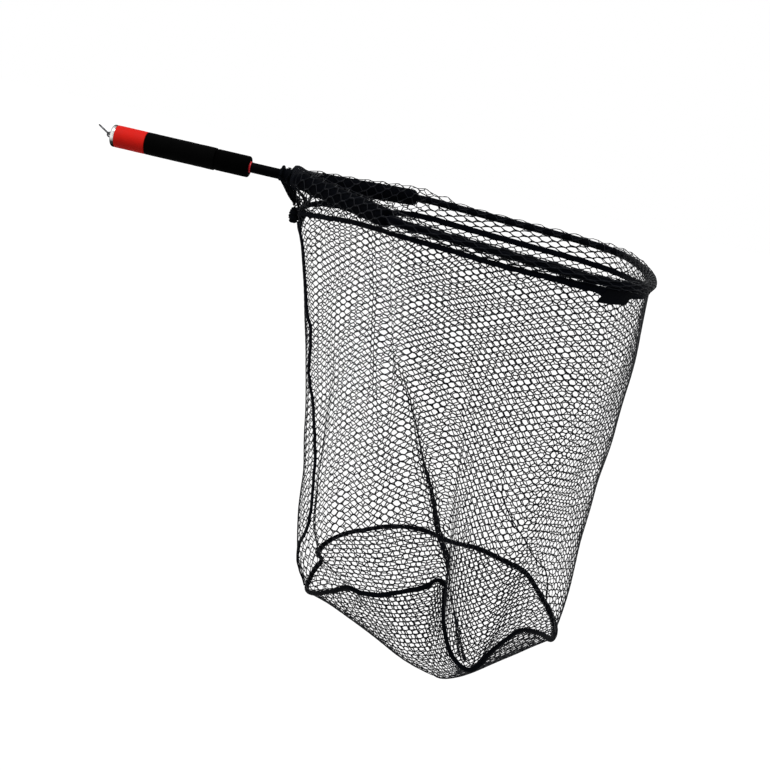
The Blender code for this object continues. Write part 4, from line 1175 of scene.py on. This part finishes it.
def makeTieThreads():
    # Two thin threads, wound once round all four legs, keep the loops from spreading
    shape = bmesh.new()
    reach = (tieDesign["cordRadius"] + tieDesign["threadRadius"]) * 0.7
    for height in tieDesign["threadHeights"]:
        rear, front = (legsAt(node, height) for node in tieLoops)
        corners = [(rear[0], (-1, -1)), (front[0], (1, -1)), (front[-1], (1, 1)), (rear[-1], (-1, 1))]
        corners = [spot + Vector((x * reach, y * reach, 0.0)) for spot, (x, y) in corners]
        route = [spot for i in range(4) for spot in (corners[i], corners[i].lerp(corners[(i + 1) % 4], 0.5))]
        addShape(shape, sweptTube(smoothLoop(route, 6), tieDesign["threadRadius"], 90, 6, True))
    finishPiece("tieThreads", shape, "cord", "front_tie_cord")


# The netting's two ends are drawn together over the yoke and down into the knot

gatherDesign = {"hoodStrand": 0.002, "hoodColumns": 18, "hoodRows": 30, "webStrand": 0.0011, "webColumns": 4,
                "webRows": 7, "webBow": -0.0035, "strandRadius": 0.0009, "strandBow": 0.0085,
                "strandFoot": (0.0045, 0.0095), "ropeRadius": 0.002, "ropeBow": 0.0105}
# Sections of the netting over the yoke: place along the handle, half width and half height
hoodSections = [(0.1775, 0.0125, 0.0125), (0.18, 0.018, 0.018), (0.185, 0.0192, 0.019),
                (0.19, 0.019, 0.018), (0.196, 0.0225, 0.0158), (0.204, 0.029, 0.015), (0.213, 0.038, 0.015),
                (0.222, 0.047, 0.0148)]
ropeEnds = (Vector((0.188, 0.0, -0.0155)), Vector((0.2, 0.0, -0.049)))


def hoodSurface(x, y):
    # Netting over the yoke, as wide as the arms are apart; x runs along the handle and y round it
    place = clamp(x / gatherDesign["hoodColumns"]) * (len(hoodSections) - 1)
    i = min(int(place), len(hoodSections) - 2)
    alongX, halfWidth, halfHeight = Vector(hoodSections[i]).lerp(Vector(hoodSections[i + 1]), place - i)
    angle = radians(-75.0 + 330.0 * y / gatherDesign["hoodRows"])
    spot = Vector((alongX, halfWidth * cos(angle), halfHeight * sin(angle)))
    return spot - up * (0.038 * (spot.x - hoopDesign["apexX"]) - 0.0008 * noise.noise(spot * 60.0))


def gatherCurve(start, end, share, bow):
    return start.lerp(end, share) + Vector((bow * sin(pi * share), 0.0, 0.0))


def webSurface(x, y):
    # The small web of netting between the front loop and the gathered strands
    down = clamp(y / gatherDesign["webRows"])
    outer = gatherCurve(*ropeEnds, down, gatherDesign["ropeBow"])
    inner = gatherCurve(*ropeEnds, down, gatherDesign["webBow"])
    return inner.lerp(outer, clamp(x / (gatherDesign["webColumns"] - 1)))


def makeGatheredStrands():
    # Strands from the lower half of both ends of the laced netting, bound into the knot's top
    shape = bmesh.new()
    reach, lift = gatherDesign["strandFoot"]
    for section in (sleeveTable[0][0], sleeveTable[-1][0]):
        for i, j in enumerate((0, 1, 2, 4, 6, 18, 20, 22, 23)):
            foot = Vector((knotX + reach * cos(2.4 * i), reach * sin(2.4 * i), knotSpot.z + lift))
            route = [gatherCurve(section[j], foot, step / 10, gatherDesign["strandBow"])
                     for step in range(11)]
            addShape(shape, sweptTube(route, gatherDesign["strandRadius"], 24, 6))
    rope = [gatherCurve(*ropeEnds, step / 12, gatherDesign["ropeBow"]) for step in range(13)]
    addShape(shape, sweptTube(rope, gatherDesign["ropeRadius"], 60, 12, lumps=braidLumps))
    finishPiece("gatheredStrands", shape, "coated_net", "rim_netting")


def makeSeamGather():
    # The bag's netting is gathered behind the knot and narrows into the side seam's tape
    route = [Vector((x, 0.0, z)) for x, z in ((0.2062, -0.045), (0.205, -0.052), (0.2042, -0.06),
                                              (0.2042, -0.068), (0.2052, -0.078))]
    taper = [(0, 1), (0.01, 1.05), (0.02, 0.8), (0.034, 0.42)]

    def lumps(distance, angle):
        return curveValue(taper, distance) * braidLumps(distance, angle)

    shape = sweptTube(route, 0.005, 60, 16, lumps=lumps)
    finishPiece("seamGather", shape, "webbing", "side_seam_tape", finish="cord")


makeNet("hoodNet", "rim_netting", hoodSurface, gatherDesign["hoodColumns"], gatherDesign["hoodRows"],
        strand=gatherDesign["hoodStrand"])
makeNet("webNet", "rim_netting", webSurface, gatherDesign["webColumns"], gatherDesign["webRows"],
        strand=gatherDesign["webStrand"])
makeGatheredStrands()
makeSeamGather()
makeGatherKnot()
makeTieCord("rearTieCord", "rear_tie_cord")
makeTieCord("frontTieCord", "front_tie_cord")
makeTieThreads()


# Tag: a bare folded label stitched over the rim tape

tagDesign = {"setBack": 0.079, "length": 0.044, "drop": 0.02, "overlap": 0.0034, "skew": -0.012,
             "thickness": 0.0009, "curl": 0.0015}


def makeTag():
    firstX = hoopDesign["apexX"] + hoopDesign["length"] - tagDesign["setBack"]
    firstShare = min((i / 2000 for i in range(401, 1001)),
                     key=lambda share: abs(onLoop(seamTrace, share).x - firstX))

    def place(across, along):
        share = firstShare + along * tagDesign["length"] / seamTrace["length"]
        tangent = loopTangent(seamTrace, share)
        down = across * tagDesign["drop"] * (1 - 0.16 * along)
        lift = rimDesign["tapeThickness"] / 2 + 0.001 + tagDesign["curl"] * across ** 2 * sin(along * 3.0)
        return (onLoop(seamTrace, share) + levelSide(tangent) * lift + tangent * (tagDesign["skew"] * across)
                - up * (down - tagDesign["overlap"]))

    shape = formedSheet(24, 40, place, (tagDesign["drop"], tagDesign["length"]))
    ops.recalc_face_normals(shape, faces=shape.faces)
    ops.solidify(shape, geom=shape.faces[:], thickness=tagDesign["thickness"])
    faceOutwards(shape)
    finishPiece("tag", shape, "tag_satin", "tag")


makeTag()
print("knot, tie cords and tag are made")


# Camera, light and white surroundings

cameraDesign = {"place": (0.4983, -1.7883, 0.1791), "yaw": -3.504, "pitch": 14.601, "roll": 12.726,
                "focal": 1161.0, "frame": 770.0, "sensor": 36.0}
lightDesign = {"keyDirection": (0.1, 0.46, -1.0), "keyStrength": 2.45, "keySpread": 35.0, "world": 0.36}
# Pale studio paper: white where it is seen, and a middle grey in the light it gives back
paperLook = {"colour": "#ffffff", "shade": "#a0a0a0", "roughness": 0.9, "level": 0.0, "depth": -2.2}


def makeCamera():
    # The photograph was turned clockwise so that the handle slopes down to the right
    yaw, pitch, roll = (radians(cameraDesign[name]) for name in ("yaw", "pitch", "roll"))
    ahead = Vector((sin(yaw) * cos(pitch), cos(yaw) * cos(pitch), -sin(pitch)))
    levelRight = Vector((cos(yaw), -sin(yaw), 0.0))
    levelUp = levelRight.cross(ahead)
    turn = Matrix((levelRight * cos(roll) + levelUp * sin(roll),
                   levelUp * cos(roll) - levelRight * sin(roll), -ahead))
    camera = placeObject("camera", bpy.data.cameras.new("camera"))
    camera.data.sensor_width = cameraDesign["sensor"]
    camera.data.lens = cameraDesign["focal"] * cameraDesign["sensor"] / cameraDesign["frame"]
    camera.data.clip_start = 0.05
    camera.matrix_world = Matrix.Translation(cameraDesign["place"]) @ turn.transposed().to_4x4()
    bpy.context.scene.camera = camera


def seenRays(owner):
    # 1 for what the camera sees straight on, in polished metal or through glass
    rays = addNode(owner, "LightPath").outputs
    seen = rays["Is Camera Ray"]
    for kind in ("Is Glossy Ray", "Is Transmission Ray"):
        sockets = {0: seen, 1: rays[kind]}
        seen = addNode(owner, "Math", {"operation": "MAXIMUM"}, sockets).outputs[0]
    return seen


def makeWorld():
    world = bpy.data.worlds.new("softbox")
    world.use_nodes = True
    bpy.context.scene.world = world
    background = world.node_tree.nodes["Background"]
    background.inputs["Color"].default_value = hexColour("#ffffff")
    level = addNode(world, "MapRange", {3: lightDesign["world"], 4: 1.0}, {0: seenRays(world)})
    world.node_tree.links.new(level.outputs[0], background.inputs["Strength"])


def makeKeyLight():
    # One broad soft light high above the object
    lamp = bpy.data.lights.new("keyLight", "SUN")
    lamp.energy = lightDesign["keyStrength"]
    lamp.angle = radians(lightDesign["keySpread"])
    light = placeObject("keyLight", lamp)
    light.matrix_world = Vector(lightDesign["keyDirection"]).to_track_quat("-Z", "Y").to_matrix().to_4x4()


def makeFloor():
    material = startMaterial("studioPaper", paperLook)[0]
    joinPatterns(material, paperLook, seenRays(material))
    shape = bmesh.new()
    ops.create_grid(shape, x_segments=1, y_segments=1, size=30.0,
                    matrix=Matrix.Translation((0.0, 0.0, paperLook["depth"])))
    placeMesh("floor", shape, material)


makeCamera()
makeWorld()
makeKeyLight()
makeFloor()
bpy.context.scene.view_settings.view_transform = "Standard"
print("camera, light and floor are set")
